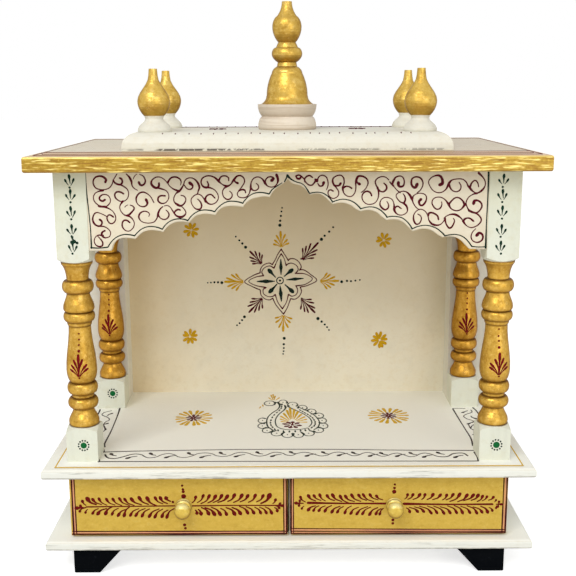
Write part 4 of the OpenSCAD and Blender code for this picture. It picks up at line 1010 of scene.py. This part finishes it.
PAISLEY_PETALS = (
    (-27, -25.6, 4.6, 7.8), (-26.8, -42.2, 4.6, 7.6), (-21.8, -55.6, 4.8, 7.4), (-11.8, -64, 5.6, 7.6),
    (-1, -68, 5.4, 8.6), (10, -68.4, 5.2, 8.4), (20.6, -64.4, 5.6, 7.6), (30.8, -55.4, 5.2, 7.4),
    (36.2, -42.4, 4.8, 8), (35.6, -26.4, 4.6, 8), (32.8, -10.6, 4.9, 8), (25.4, 2.6, 4.8, 8), (15.8, 15.4, 5, 8),
    (5, 25.8, 5.4, 8.4), (-5.6, 33.8, 4.6, 8.4))
PAISLEY_TICKS = (
    (-6.6, 27, -1.6), (-7, 20.4, -1.6), (-7.4, 14, -1.8), (-9.6, 7, -2), (-12.2, 0, -2), (-15, -8, -1.9),
    (-17, -16, -1.8), (-18.2, -25, -1.6), (-18.6, -32.6, -1.5), (-18, -39.6, -1.4), (-16.4, -46, -1.2),
    (-14, -52.4, -1.4), (-10.6, -55.6, -1.5), (-5, -58.4, -1.6), (1, -59, -1.6), (7, -58.6, -1.6), (12.4, -57, -1.6),
    (17.4, -55.6, -1.4), (21, -52.4, -1.3), (24.2, -47.4, 1.2), (26.8, -42.6, 1.3), (28, -37, 1.4),
    (28.2, -30.6, 1.6), (27.2, -24.4, 1.8), (25.8, -18, 1.9), (23.6, -12, 2), (21, -6.8, 2), (18.2, -2, 2.1),
    (15.6, 2.8, 2.1), (13, 7.4, 2.1))
# Ochre rays inside and above the paisley, from tip to tail, and the maroon drops in its middle.
RAYS_INSIDE = (
    ((-7, -29), (-1.4, -31)),
    ((-8, -21.6), (-0.8, -28.6)),
    ((-7.4, -12.6), (0.4, -26.6)),
    ((-5, -3.4), (1.4, -24.6)),
    ((-1.4, 7), (2.4, -22)),
    ((2, 13), (3.4, -20)),
    ((6.6, 9), (4.8, -20)),
    ((10.4, 1.6), (6, -22)),
    ((13.8, -7), (7.4, -24.6)),
    ((17, -14.6), (8.8, -26.6)),
    ((18.8, -22.6), (10, -28.8)),
    ((18.6, -31), (11.4, -31.4)))
RAYS_ABOVE = (
    ((-19.2, 59.6), (-16.6, 43)),
    ((-14.4, 56), (-15.4, 43)),
    ((-21.4, 50), (-17.6, 41.6)),
    ((-10, 50), (-13.6, 42)),
    ((-17, 62), (-16.2, 50)),
    ((-28, 25), (-27.6, 20)),
    ((-30, 19), (-31.6, 14)))
MIDDLE_DROPS = ((-0.2, -32), (4.6, -31), (9.6, -34), (11.8, -41), (7.8, -46.4), (2, -47), (-2.2, -43.6), (-4, -36.4))


def paint_floor():
    on_floor = on_top(FLOOR_TOP)
    lines = Brush("floor_border_lines", GREY_LINE, place=on_floor, seed=12, weight=1.4)
    for points, widths in FLOOR_LINES:
        lines.stroke(points, widths)
    lines.stroke(FLOOR_VINE, (1.6, 0.9, 0.9, 1.0, 0.9, 0.9, 1.5), 0.15)
    for x, y in LEAVES_BELOW:
        lines.stroke([(x, y), (x + 3.6, y + 3.2), (x + 8.6, y + 5)], (3.2, 1.3, 0.8))
    for x, y in LEAVES_ABOVE:
        lines.stroke([(x, y + 1), (x + 2, y - 2.2), (x + 5.6, y - 4)], (3.2, 1.6, 0.8))
    for widths, points in SIDE_VINES:
        lines.stroke(points, widths, 0.15)
    lines.done()

    groove = Brush("floor_groove_line", PALE_OCHRE, place=on_floor, rise=0.2, seed=13)
    x0, x1, y0 = -216, 216.8, -151.4
    y1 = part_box("floor_board")[1].y / MM - 8
    corners = [(x0, y1), (x0, y0), (x1, y0), (x1, y1)]
    for a, b in zip(corners, corners[1:] + corners[:1]):
        groove.stroke(evenly(a, b, 12), (1.5,), 0.12)
    groove.done()

    ochre = Brush("floor_ochre_rays", PALE_OCHRE, place=on_floor, seed=14, weight=1.25)
    hearts = Brush("floor_maroon_hearts", FLOOR_MAROON, place=on_floor, seed=15, weight=1.9)
    for u, v, rx, ry, n in DAISIES:
        for i in range(n):
            a = 2 * math.pi * i / n + ochre.chance.uniform(-0.06, 0.06)
            k = ochre.chance.uniform(0.94, 1.04)
            ochre.stroke([polar(u, v, rx * k, ry * k, a), polar(u, v, rx * 0.44, ry * 0.44, a)],
                         (3.6, 2.8, 1.2), 0.2)
        for i in range(9):
            a = 2 * math.pi * i / 9 + 0.3
            hearts.stroke([polar(u, v, 6.8, 8.4, a), polar(u, v, 3.6, 4.6, a)], (2.2, 1.2), 0.3)
        for i in range(5):
            hearts.dot(*polar(u, v, 2.0, 2.8, 2 * math.pi * i / 5), 1.8, 1.3)

    outline = Brush("floor_paisley", BLACK_LINE, place=on_floor, seed=16, weight=1.5)
    for points, widths in PAISLEY_LINES:
        outline.stroke(points, widths)
    for u, v, rx, ry in PAISLEY_PETALS:
        facing = math.atan2((v + 25) / 2.0, u - 5)
        span = [facing + (t / 8 - 0.5) * 4.4 for t in range(9)]
        outline.stroke([polar(u, v, rx, ry, t) for t in span], (2.0, 1.0, 0.8, 1.0, 2.0))
        outline.dot(u, v, 1.0, 1.6, 8)
    outline.stroke([polar(-20.4, 30.8, 6, 8.2, t * math.pi / 6) for t in range(13)], (1.6, 0.9, 0.9, 1.2, 1.8))
    outline.dot(-20.6, 31.4, 1.2, 1.6, 8)
    outline.stroke([(-14.6, 35), (-13, 33), (-11.6, 34.6)], (1.8,))
    for u, v, a in PAISLEY_TICKS:
        outline.stroke([polar(u, v, -1.2, -1.7, a), polar(u, v, 1.2, 1.7, a)], (1.3,), 0.1)
    outline.done()

    for tip, tail in RAYS_INSIDE:
        ochre.stroke([tip, tail], (2.6, 2.4, 1.5, 0.8), 0.2)
    for tip, tail in RAYS_ABOVE:
        ochre.stroke([tip, tail], (1.8, 1.2, 0.8), 0.2)
    for u, v in MIDDLE_DROPS:
        hearts.drop((u, v), (4.2 + (u - 4.2) * 0.42, -39 + (v + 39) * 0.42), 3.2)
    hearts.dot(4.2, -38.6, 1.8, 1.6)
    finish_all(ochre, hearts)


# Leaves of the drawer garlands: head x, z, tail x, z and the width of the head.
LEFT_LEAVES = (
    (-193.4, 70, -190.4, 65.8, 2.6), (-188.5, 72.2, -180.8, 66.5, 3.8), (-183.8, 71.8, -175.6, 66.4, 2.6),
    (-177.8, 72.2, -170.6, 65.8, 2.4), (-171, 71.8, -163, 66, 2.4), (-164.9, 72, -156.8, 65.4, 2.3),
    (-158.8, 72.4, -149.6, 65.6, 2.4), (-153.8, 71.8, -145, 65.4, 2.4), (-147.6, 72, -138.4, 66.2, 3),
    (-140.1, 73.2, -131.6, 66.4, 3), (-132.8, 72.8, -124.4, 65.2, 3.2), (-125.2, 73, -118.4, 67, 2.6),
    (-120.4, 73, -113.8, 67.2, 3), (-115, 72.6, -111.2, 69.6, 3.4), (-108.6, 68.5, -108, 68, 2.6),
    (-190.9, 58.6, -189, 61.6, 2.2), (-184.3, 57.6, -178.8, 62.4, 2.4), (-179.4, 57.2, -171.4, 62.4, 3),
    (-172.2, 57.4, -165.6, 64.2, 3), (-166.1, 56.6, -160.2, 62.6, 2.4), (-160.5, 55.4, -152, 61.8, 2.6),
    (-154.9, 55.2, -149.4, 64, 2.8), (-149.1, 55.4, -140.8, 62.2, 2.4), (-143.9, 55.2, -135, 62.2, 2.4),
    (-138, 54.8, -130.8, 61.8, 2.6), (-131.4, 54.2, -122, 61.8, 2.6), (-126, 53.6, -118.4, 61.6, 2.6),
    (-119.4, 54.2, -113.6, 60.6, 2.8), (-114.8, 53.4, -107.2, 62.4, 2.6), (-87.1, 73.6, -90.6, 68, 2.6),
    (-80.1, 75.2, -85.8, 68, 2.4), (-74.4, 75, -82.4, 67, 2.6), (-68.6, 74.4, -75.8, 67.8, 3),
    (-62.8, 75, -71, 68, 2.8), (-57.4, 74.4, -66.5, 68, 3), (-51, 75.4, -57.2, 69, 3), (-44, 75.2, -51.8, 68, 3),
    (-38.4, 74.8, -45.6, 68.6, 2.8), (-31.4, 75.2, -37.8, 68, 2.8), (-24, 74.8, -30.4, 68.4, 2.6),
    (-18, 75, -26, 67, 4), (-12.6, 70.4, -15, 66.8, 2.6), (-86.4, 57.6, -87.8, 60.4, 3.2),
    (-82.6, 56.8, -84.8, 61, 3.4), (-75.4, 56.8, -82, 63, 3.2), (-70, 56, -78.6, 63, 3.2),
    (-64.6, 56, -72.8, 63.2, 3), (-58.6, 56, -64, 62, 2.8), (-51.1, 56.4, -58.8, 62.8, 3.2),
    (-45.6, 56.8, -53.4, 62.8, 3.2), (-38.7, 57.4, -46.4, 64, 2.8), (-33, 57.4, -40, 63.6, 2.8),
    (-26.5, 57.4, -32, 63, 2.6), (-21.2, 57.4, -27.4, 63, 2.6), (-16.2, 57.2, -22, 63.2, 2.8),
    (-11, 59.4, -13.2, 62.6, 2.8), (-199.2, 63, -191, 63.3, 3.2), (-195.4, 65.2, -192.4, 63.4, 2.6),
    (-196.4, 59.8, -192.6, 62.8, 2.2), (-5.8, 64.4, -13, 64.7, 2.6), (-8.2, 66.8, -12.4, 64.4, 2.2),
    (-9.2, 62.4, -13, 64.6, 2.4))
RIGHT_LEAVES = (
    (10.7, 73, 15.4, 68.2, 2.4), (18.2, 74.4, 24.8, 69.2, 2.8), (23.4, 74.6, 30, 69.6, 2.4),
    (28.8, 75.2, 34, 69.2, 2.6), (35.8, 74.4, 42.6, 69.4, 2.6), (40.8, 75.2, 49.4, 68.4, 2.8),
    (48, 73.8, 56, 67, 2.6), (52.8, 73.8, 61.4, 68.4, 2.6), (58.6, 75, 67.4, 68.4, 2.6),
    (65.2, 74.8, 72.8, 69.4, 2.4), (69.4, 75.4, 79.4, 68.2, 2.3), (75.8, 75.2, 83.4, 70, 2.4),
    (82, 73.8, 88, 70, 2.4), (12.2, 61.6, 14, 63.8, 2.1), (18.2, 60.2, 24.6, 64.2, 2.8), (23.1, 59.4, 28, 64.2, 2.3),
    (28.2, 59.2, 34, 64.2, 2.4), (33.8, 58.8, 40, 64.4, 2.6), (40.2, 57.8, 48, 63.6, 2.6),
    (45.6, 57.8, 51.2, 63.4, 2.4), (52.4, 56.8, 58.4, 63.8, 2.4), (58, 56.4, 65.2, 62.6, 2.4),
    (63.8, 55.8, 73.8, 63.2, 2.3), (69.2, 55.8, 76.6, 62.6, 2.4), (75.8, 55.2, 83.2, 62, 2.6),
    (81.9, 55.8, 86.4, 61, 2.6), (85.4, 55.6, 88.6, 61.4, 2.4), (111.2, 75, 108.6, 70.8, 2.4),
    (116.2, 75, 111.6, 70.4, 2.6), (122.6, 75, 116.4, 70.2, 2.8), (127.5, 75, 124.6, 70.2, 2.6),
    (135, 75.2, 129.6, 70, 2.8), (142, 74.6, 134.8, 69.8, 2.6), (147.9, 74.4, 144, 69.6, 2.6),
    (153.8, 75, 147.4, 69.6, 2.6), (160.2, 75.4, 151, 68, 2.8), (167, 74.4, 158.4, 67.8, 2.8),
    (172.8, 74.4, 164, 68.8, 2.8), (177.3, 74.2, 171, 69, 3), (181.5, 73.2, 176.6, 67.8, 2.6),
    (185.6, 72.6, 181.4, 68.6, 2.2), (191.6, 72.2, 187.2, 69, 2.4), (194.2, 69, 193, 67.4, 2),
    (113.6, 57.8, 110.4, 61.6, 2.6), (121, 57.8, 113, 62.2, 2.4), (126.8, 58, 117.8, 62.8, 2.4),
    (133.9, 56.2, 122.6, 63.4, 2.3), (139.3, 56.6, 130, 63.4, 2.3), (145.8, 56, 136, 63.2, 2.4),
    (151.8, 56.4, 142.2, 62.8, 2.4), (157.8, 56.6, 149, 63.4, 2.4), (163.4, 56.4, 155.2, 63.8, 2.6),
    (170.2, 56.6, 161.4, 63, 2.3), (176.8, 56.2, 167.4, 63.4, 2.4), (181.7, 57, 173, 62.4, 2.4),
    (186.9, 57.2, 180.2, 63, 2.8), (191.2, 58.6, 188, 61.8, 2.2), (194.6, 61.4, 195, 63.4, 2.2),
    (6.6, 67, 13.4, 66.8, 2.8), (10.2, 69.4, 10, 66, 2.4), (9.4, 64.6, 10.4, 67, 2.4), (199.6, 64.9, 194.6, 65, 2.2),
    (197, 67.4, 196.6, 64.6, 2.2), (196.4, 62.8, 197, 65.4, 2.2))
# The two halves of each garland's stem and their widths, and the dots above and below the knob.
STEMS = {
    "left": (((-190, 64.1), (-160, 64.5), (-107, 64.8)), ((-92, 64.8), (-50, 65), (-7, 64.8)), (1.2, 1, 1.1)),
    "right": (((18, 67.2), (50, 66.6), (91, 66.2)), ((108, 65.8), (150, 65.1), (191, 65.1)), (2.2, 1.5, 1.4, 1.7))}
KNOB_DOTS = {
    "left": ((-0.9, 85, 1.9), (-0.3, 81.2, 2.1), (0, 79, 2.5), (0.2, 74.3, 3.8), (0.4, 45.6, 2.5), (1.1, 42.2, 2.2)),
    "right": ((0.3, 85.2, 1.8), (0, 81.8, 2.1), (-0.2, 78, 3.3), (-0.9, 49.6, 2.4), (-0.9, 46.2, 2.1))}
# Border lines of each drawer front: place and width of the upright ones, ends and width of the others.
EDGES = {
    "left": (((-202.8, 1.5), (-200.2, 1.0), (-4.8, 1.0), (-2.4, 1.3)), ((39.4, 38.8, 1.1), (36.6, 36.5, 1.5))),
    "right": (((2.2, 1.2), (4.3, 0.9), (201, 1.1), (204, 1.4)),
              ((41.3, 39.4, 0.9), (38.6, 37.6, 1.0), (36.4, 36.4, 1.2)))}
BANDS = {"left": ((-201.5, -3.6), ((38, 37.7, 1.8),)), "right": ((3.2, 202.5), ((40, 38.4, 1.8), (37.4, 37, 1.2)))}


def leaf(brush, hx, hz, tx, tz, w):
    """A round head that leaves its place steeply and bends into a thin tail."""
    brush.stroke([(hx, hz), (hx + (tx - hx) * 0.34, hz + (tz - hz) * 0.62), (tx, tz)],
                 (w, w * 0.98, w * 0.64, w * 0.5, w * 0.44, w * 0.4, w * 0.38, w * 0.36), 0.08)


def paint_drawer(side):
    body = "drawer_" + side
    low, high = (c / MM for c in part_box(body + "_front"))
    face = on_front(low.y)
    leaves = Brush(body + "_garland", RED_BROWN, "gold_paint", body, face, 0.3, 17 if side == "left" else 18, 1.32)
    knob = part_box(body + "_knob")
    kx = (knob[0].x + knob[1].x) / 2 / MM
    near, far, widths = STEMS[side]
    leaves.stroke(near, widths)
    leaves.stroke(far, widths)
    for one in LEFT_LEAVES if side == "left" else RIGHT_LEAVES:
        leaf(leaves, *one)
    for du, z, d in KNOB_DOTS[side]:
        leaves.dot(kx + du, z, d)
    leaves.done()

    lines = Brush(body + "_border", DARK_LINE, "gold_paint", body, face, 0.3, 19, 1.3)
    band = Brush(body + "_border_band", SALMON, "gold_paint", body, face, 0.1, 20)
    top, foot = high.z - 0.9, low.z + 0.9
    for x, w in EDGES[side][0]:
        lines.stroke([(x, top), (x, top - 18), (x, foot + 18), (x, foot)], (w, w * 0.8, w * 1.1, w), 0.12)
    for x in BANDS[side][0]:
        band.stroke([(x, top), (x, top - 18), (x, foot + 18), (x, foot)], (1.7,), 0.05)
    for brush, rows in ((lines, EDGES[side][1]), (band, BANDS[side][1])):
        for za, zb, w in rows:
            brush.stroke(evenly((low.x + 1.2, za), (high.x - 1.2, zb), 8), (w, w * 0.8, w * 1.15, w * 0.85, w), 0.1)
    finish_all(lines, band)


def paint_divider():
    """Dark lines down the upright between the drawers, painted shade in the gap between them."""
    low, high = (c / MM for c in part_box("carcass_divider"))
    lines = Brush("divider_shade_lines", BLACK_LINE, place=on_front(low.y), rise=0.2, seed=23)
    for x, w in ((-1.0, 1.9), (1.4, 0.5)):
        lines.stroke([(x, low.z + 1), (x, low.z + 20), (x, high.z - 20), (x, high.z - 1)], (w, w * 0.9, w * 1.1), 0.08)
    lines.done()


def paint_roof():
    lines = Brush("roof_border_lines", RED_BROWN, "gold_paint", place=on_top(ROOF_TOP), rise=0.4, seed=21)
    for y, x, w in ((-102, 219, 3.0), (-128, 216, 1.3), (-146, 219, 2.0)):
        lines.stroke([(-x - 3.5, y + 5), (-x - 1.5, y + 0.8)] + [(-x + 2 * x * i / 16, y) for i in range(17)]
                     + [(x + 1.5, y + 0.8), (x + 3.5, y + 5)], (w,), 0.25)
    for x in (-222.5, 222.5):
        lines.stroke([(x, y) for y in (-140, -120, -97)], (2.0, 1.5), 0.15)
        lines.stroke([(x, y) for y in (-97, -60, 0, 60, 110, 138)], (0.9,), 0.15)
    lines.stroke([(-222.5, 138), (0, 138), (222.5, 138)], (0.9,), 0.1)
    lines.done()

    edge = Brush("plinth_edge_dots", MAROON, place=on_node("roof_plinth"), rise=0.3, seed=24)
    dots = Brush("plinth_top_dots", MAROON, place=on_top(PLINTH_TOP), rise=0.8, seed=22)
    dots.stroke([(x, 57) for x in (-118, -60, 0, 60, 118)], (0.7,), 0.2)
    for brush, v, jitter, d in ((edge, PLINTH_TOP - 1.1, 0.3, 1.3), (dots, 57, 1.2, 2.2)):
        x = -118.0
        while x < 120:
            brush.dot(x, v + brush.chance.uniform(-jitter, jitter), d)
            x += 10.4 + brush.chance.uniform(-2.6, 2.6)
    edge.done()
    for x, y in ((-71, 2), (71, 6)):
        for i in range(7):
            a = 2 * math.pi * i / 7
            dots.stroke([polar(x, y, 8, 10, a), polar(x, y, 3, 4, a)], (2.2, 1.0), 0.3)
        dots.dot(x, y, 2.6)
    dots.done()


# ---------------------------------------------------------------- CAD node materials

CREAM = srgb(229, 227, 214)
POST_CREAM = srgb(223, 225, 209)
PANEL_CREAM = srgb(240, 232, 209)
GOLD = srgb(200, 158, 68)
GOLD_EDGE = (0.12, 0.07, 0.02, 1)
ROOF_GOLD = srgb(182, 146, 46)
DRAWER_GOLD = srgb(208, 175, 78)
# Heights of the gold shaft's ends and of the turned grooves on it, and of a finial's foot.
SHAFT_ENDS = ((138.6, 139.2), (295.2, 294.6))
GROOVES = (138.8, 154.8, 166, 169, 180.2, 234.4, 238.2, 247.6, 265.2, 277.2, 294.3)
BULB_FOOT = (15.2, 15.9)


def dress(mat, *names):
    for name in names:
        for slot in NODES[name].material_slots:
            slot.material = mat


def gold_on_cream(m, on_gold, cream_look, gold_look):
    """Finishes a part that is painted gold where on_gold is 1 and cream elsewhere."""
    cream_c, cream_r, cream_h = cream_look
    gold_c, gold_r, gold_h = gold_look
    c = m.mix(on_gold, cream_c, gold_c)
    m.link(m.mul(on_gold, 0.6), m.bsdf.inputs["Metallic"])
    rough = m.add(m.mul(gold_r, on_gold), m.mul(cream_r, m.sub(1.0, on_gold)))
    return m.finish(c, rough, m.add(gold_h, cream_h), 0.25)


def post_material():
    """Cream blocks, gold turned shaft; painted shade in the turned grooves, on the head blocks under the roof and on
    the rear shafts.
    """
    m = Mat("painted_post", spec=0.4, edge_tint=GOLD_EDGE)
    cream_c, cream_r, cream_h = brushed_cream(m, POST_CREAM, (1, 1, 0.12))
    gold_c, gold_r, gold_h = brushed_gold(m, GOLD, (1, 1, 0.7), 150, 1.15)
    # painted shade: the gold of the rear shafts, further back under the roof, darker and warmer
    gold_c = m.darken(m.ramp(m.xyz[1], -0.08, 0.0, 0, 0.8), gold_c, 0.88, 0.74, 0.52)
    # painted shade: the cream head blocks darker towards the roof above them
    cream_c = m.darken(m.ramp(m.xyz[2], 0.295, 0.377, 0, 0.8), cream_c, 0.88, 0.88, 0.80)
    z = m.mul(m.xyz[2], 1 / MM)
    z = m.add(z, m.mul(m.noise(60, 2), 0.8))
    on_shaft = m.mul(m.ramp(z, *SHAFT_ENDS[0]), m.ramp(z, *SHAFT_ENDS[1]))
    # painted shade: dark bands in the turned grooves
    groove = m.bands(z, GROOVES, 1.3)
    gold_c = m.mix(m.mul(groove, 0.75), gold_c, srgb(96, 58, 12))
    return gold_on_cream(m, on_shaft, (cream_c, cream_r, cream_h), (gold_c, gold_r, gold_h))


def finial_material():
    """Cream turned foot and gold bulb of the small finials."""
    m = Mat("painted_finial", spec=0.4, edge_tint=GOLD_EDGE)
    cream_look = brushed_cream(m, CREAM, (1, 1, 0.2))
    gold_look = brushed_gold(m, srgb(214, 178, 86), (0.8, 0.8, 1), 150)
    z = m.mul(m.sub(m.xyz[2], PLINTH_TOP * MM), 1 / MM)
    z = m.add(z, m.mul(m.noise(80, 2), 1.0))
    return gold_on_cream(m, m.ramp(z, *BULB_FOOT), cream_look, gold_look)


def roof_material():
    """Gold edges all round, with a painted highlight along the rounded top edge; the top goes from golden tan at the
    front to grey beige behind.
    """
    m = Mat("roof_paint", spec=0.4)
    gold_c, gold_r, gold_h = brushed_gold(m, ROOF_GOLD, (0.22, 1, 1.5), 260, 1.25)
    top_c, _, top_h = brushed_cream(m, srgb(207, 194, 164), (0.1, 1, 1))
    stroke = m.noise(520, 2, 0.5, m.stretched((0.12, 1, 1.4)))
    gold_c = m.mix(m.ramp(stroke, 0.57, 0.66, 0, 0.9), gold_c, srgb(255, 232, 140))
    gold_c = m.mix(m.ramp(stroke, 0.43, 0.34, 0, 0.8), gold_c, srgb(142, 100, 22))
    gold_h = m.add(gold_h, m.mul(stroke, 1.5))
    y = m.mul(m.xyz[1], 1 / MM)
    top_c = m.darken(m.ramp(m.xyz[0], 0.02, 0.2, 0, 0.9), top_c, 0.90, 0.85, 0.78)
    tan = m.mix(m.ramp(m.noise(7, 3), 0.4, 0.62), srgb(214, 172, 122), srgb(206, 166, 98))
    top_c = m.mix(m.mul(m.ramp(y, -100, -104), 0.85), top_c, tan)
    up = m.math("GREATER_THAN", m.normal[2], 0.7)
    # painted highlight: a pale gold band where the rounded top edge turns from front to top
    rim = m.mul(m.ramp(m.normal[2], 0.2, 0.5), m.ramp(m.normal[2], 0.95, 0.7))
    c = m.mix(up, gold_c, top_c)
    c = m.mix(m.mul(rim, 0.8), c, srgb(238, 214, 130))
    m.link(m.mul(m.sub(1.0, up), 0.35), m.bsdf.inputs["Metallic"])
    return m.finish(c, gold_r, m.add(gold_h, top_h), 0.35, 0.0007)


def black_paint():
    """Dull black paint with a few worn, dusty places."""
    m = Mat("black_feet", spec=0.03)
    dust = m.noise(210, 3, 0.7)
    line = m.noise(90, 3, 0.6, m.stretched((0.3, 1, 1)))
    c = m.mix(m.ramp(dust, 0.62, 0.8, 0, 0.5), srgb(4, 6, 9), srgb(34, 38, 44))
    return m.finish(c, m.ramp(line, 0.3, 0.7, 0.6, 0.8), line, 0.2)


def painted_panel_shade(m, c):
    """Painted shade: a warmer, darker tone rising up the back panel towards the roof and towards its left side."""
    z = m.add(m.xyz[2], m.mul(m.noise(9, 3), 0.03))
    c = m.mix(m.ramp(z, 0.16, 0.34, 0, 1), c, srgb(224, 208, 172))
    return m.darken(m.ramp(m.xyz[0], -0.10, -0.168, 0, 1), c, 0.84, 0.76, 0.63)


def worn_board_painted_light(m, c):
    """Painted light that makes the level face lighter; worn, greyish streaks along the edges; painted shade in patches
    on faces that look down.
    """
    # painted light: the level, upward faces made lighter
    c = m.mix(m.ramp(m.normal[2], 0.6, 0.9, 0, 0.95), c, srgb(255, 255, 246))
    upright = m.math("LESS_THAN", m.math("ABSOLUTE", m.normal[2]), 0.55)
    streak = m.noise(420, 4, 0.7, m.stretched((0.05, 0.05, 1)))
    where = m.ramp(m.noise(26, 3, 0.6), 0.36, 0.62)
    c = m.mix(upright, c, m.mix(0.5, c, srgb(240, 243, 236)))
    worn = m.mul(m.mul(m.ramp(streak, 0.52, 0.66, 0, 0.75), where), upright)
    c = m.mix(worn, c, srgb(142, 140, 128))
    # painted shade: a darker tone, broken into patches, on faces that look down
    rim = m.mul(m.ramp(m.normal[2], -0.2, -0.5), m.ramp(m.noise(60, 3, 0.6), 0.42, 0.56))
    return m.mix(m.mul(rim, 0.55), c, srgb(96, 92, 80))


def turned_rings_shaded_below(m, c):
    """Fine turning marks showing through the paint, and painted shade on the faces that look down."""
    rings = m.noise(240, 3, 0.65, m.stretched((0.05, 0.05, 1.3)))
    c = m.mix(m.ramp(rings, 0.50, 0.68, 0, 0.5), c, srgb(182, 160, 136))
    # painted shade: darker on the faces that look down
    return m.mix(m.ramp(m.normal[2], 0.1, -0.6, 0, 0.5), c, srgb(168, 146, 122))


def dirty_foot(z0):
    """Broken dark specks of dirt and bare wood along the lower front edge."""
    def add(m, c):
        z = m.mul(m.sub(m.xyz[2], z0), 1 / MM)
        low = m.ramp(z, 2.2, 0.8)
        where = m.ramp(m.xyz[0], 0.02, -0.08, 0.55, 1)
        broken = m.mul(m.ramp(m.noise(300, 2, 0.6), 0.40, 0.48), m.ramp(m.noise(34, 2), 0.44, 0.5))
        return m.mix(m.mul(m.mul(low, broken), where), c, srgb(48, 34, 28))
    return add


def knob_material(face):
    """Gold knob with painted shade in its grooves and underneath, and a painted highlight where the rings face up."""
    m = Mat("gold_knob", metal=0.3, spec=0.4, edge_tint=GOLD_EDGE)
    c, rough, height = brushed_gold(m, srgb(212, 182, 84), (1, 1, 1), 260, 0.6)
    y = m.mul(m.sub(face * MM, m.xyz[1]), 1 / MM)
    # painted highlight: pale gold where the rings face up
    c = m.mix(m.ramp(m.normal[2], 0.35, 0.85, 0, 0.8), c, srgb(255, 244, 176))
    # painted shade: dark bands in the grooves between the rings
    groove = m.bands(y, (0, 2.3, 6.1), 1.0)
    c = m.mix(m.mul(groove, 0.9), c, srgb(112, 80, 16))
    # painted shade: darker on the faces that look down
    c = m.mix(m.ramp(m.normal[2], 0.0, -0.7, 0, 0.7), c, srgb(150, 112, 36))
    return m.finish(c, rough, height, 0.4)


# Distance out from the drawer front and radius, along each turned knob.
KNOB = (
    (-0.05, 7.2), (0.4, 7.7), (1.1, 7.8), (1.8, 7.3), (2.2, 6.3), (2.6, 6.4), (3.2, 7.0), (4.0, 7.2), (4.8, 6.8),
    (5.3, 5.6), (5.7, 4.7), (6.4, 4.6), (7.1, 5.2), (8.2, 6.2), (9.6, 7.0), (11.4, 7.6), (13.0, 7.5), (14.5, 6.9),
    (15.7, 5.9), (16.4, 5.0), (16.8, 4.4), (17.0, 3.6))
KNOB_SIDES = 48


def turn_knob(side, mat):
    """A knob with a back flange, a ring and a ball with a flattened end."""
    node = "drawer_%s_knob" % side
    low, high = (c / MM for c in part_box(node))
    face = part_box("drawer_%s_front" % side)[0].y / MM
    x, z, sides = (low.x + high.x) / 2, (low.z + high.z) / 2, KNOB_SIDES
    verts = []
    for out, r in KNOB:
        for i in range(sides):
            a, b = polar(x, z, r, r, 2 * math.pi * i / sides)
            verts.append(Vector((a, face - out, b)) * MM)
    faces = ring_faces(len(KNOB), sides)
    faces.append(tuple(reversed(range(sides))))
    verts.append(Vector((x, face - KNOB[-1][0] - 0.1, z)) * MM)
    last = (len(KNOB) - 1) * sides
    faces += [(last + i, last + (i + 1) % sides, len(verts) - 1) for i in range(sides)]
    knob = closed_piece("turned_knob_" + side, verts, faces, mat, flat_from=5)
    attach(knob, "drawer_" + side)
    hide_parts(node)


def dress_nodes():
    # boards and floor: wear, painted light on their level faces and painted shade on faces that look down
    boards = cream("cream_boards", CREAM, (0.1, 1, 1), worn_board_painted_light)
    box = cream("cream_carcass", CREAM, (0.1, 1, 1))
    floor = cream("cream_floor", CREAM, (0.1, 1, 1), worn_board_painted_light)
    # the back panel's cream carries painted shade towards its top and its left side
    panel = cream("cream_panel", PANEL_CREAM, (0.5, 1, 0.5), painted_panel_shade)
    upright = cream("cream_upright", CREAM, (1, 1, 0.1))
    plinth = cream("cream_plinth", CREAM, (0.14, 1, 1), dirty_foot(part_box("roof_plinth")[0].z))
    turned_cream = cream("cream_turned", srgb(223, 211, 193), (0.3, 0.3, 2), turned_rings_shaded_below)
    turned_gold = gold("gold_turned", srgb(205, 169, 80), (0.6, 0.6, 1.2), scale=150)
    drawer = gold("gold_drawer", DRAWER_GOLD, (0.5, 1, 1), 0.1, 190, 0.4)
    knob = knob_material(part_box("drawer_left_front")[0].y / MM)
    for side in ("left", "right"):
        turn_knob(side, knob)
    black = black_paint()
    inside = cream("bare_wood_inside", srgb(190, 154, 108), (1, 0.06, 1))

    dress(floor, "floor_board")
    dress(panel, "back_panel")
    dress(plinth, "roof_plinth")
    dress(roof_material(), "roof_board")
    dress(turned_cream, "centre_finial_base")
    dress(turned_gold, "centre_spire")
    by_prefix = {"post_": post_material(), "corner_finial": finial_material(), "foot_": black,
                 "back_stile": upright, "base_plate": boards, "carcass": box}
    for name in NODES:
        for prefix, mat in by_prefix.items():
            if name.startswith(prefix):
                dress(mat, name)
        if name.startswith("drawer"):
            part = name.split("_")[-1]
            dress({"front": drawer, "knob": knob}.get(part, inside), name)


make_camera()
make_stage()
dress_nodes()
carve_valance()
paint_valance()
paint_panel()
paint_posts()
paint_floor()
paint_drawer("left")
paint_drawer("right")
paint_divider()
paint_roof()
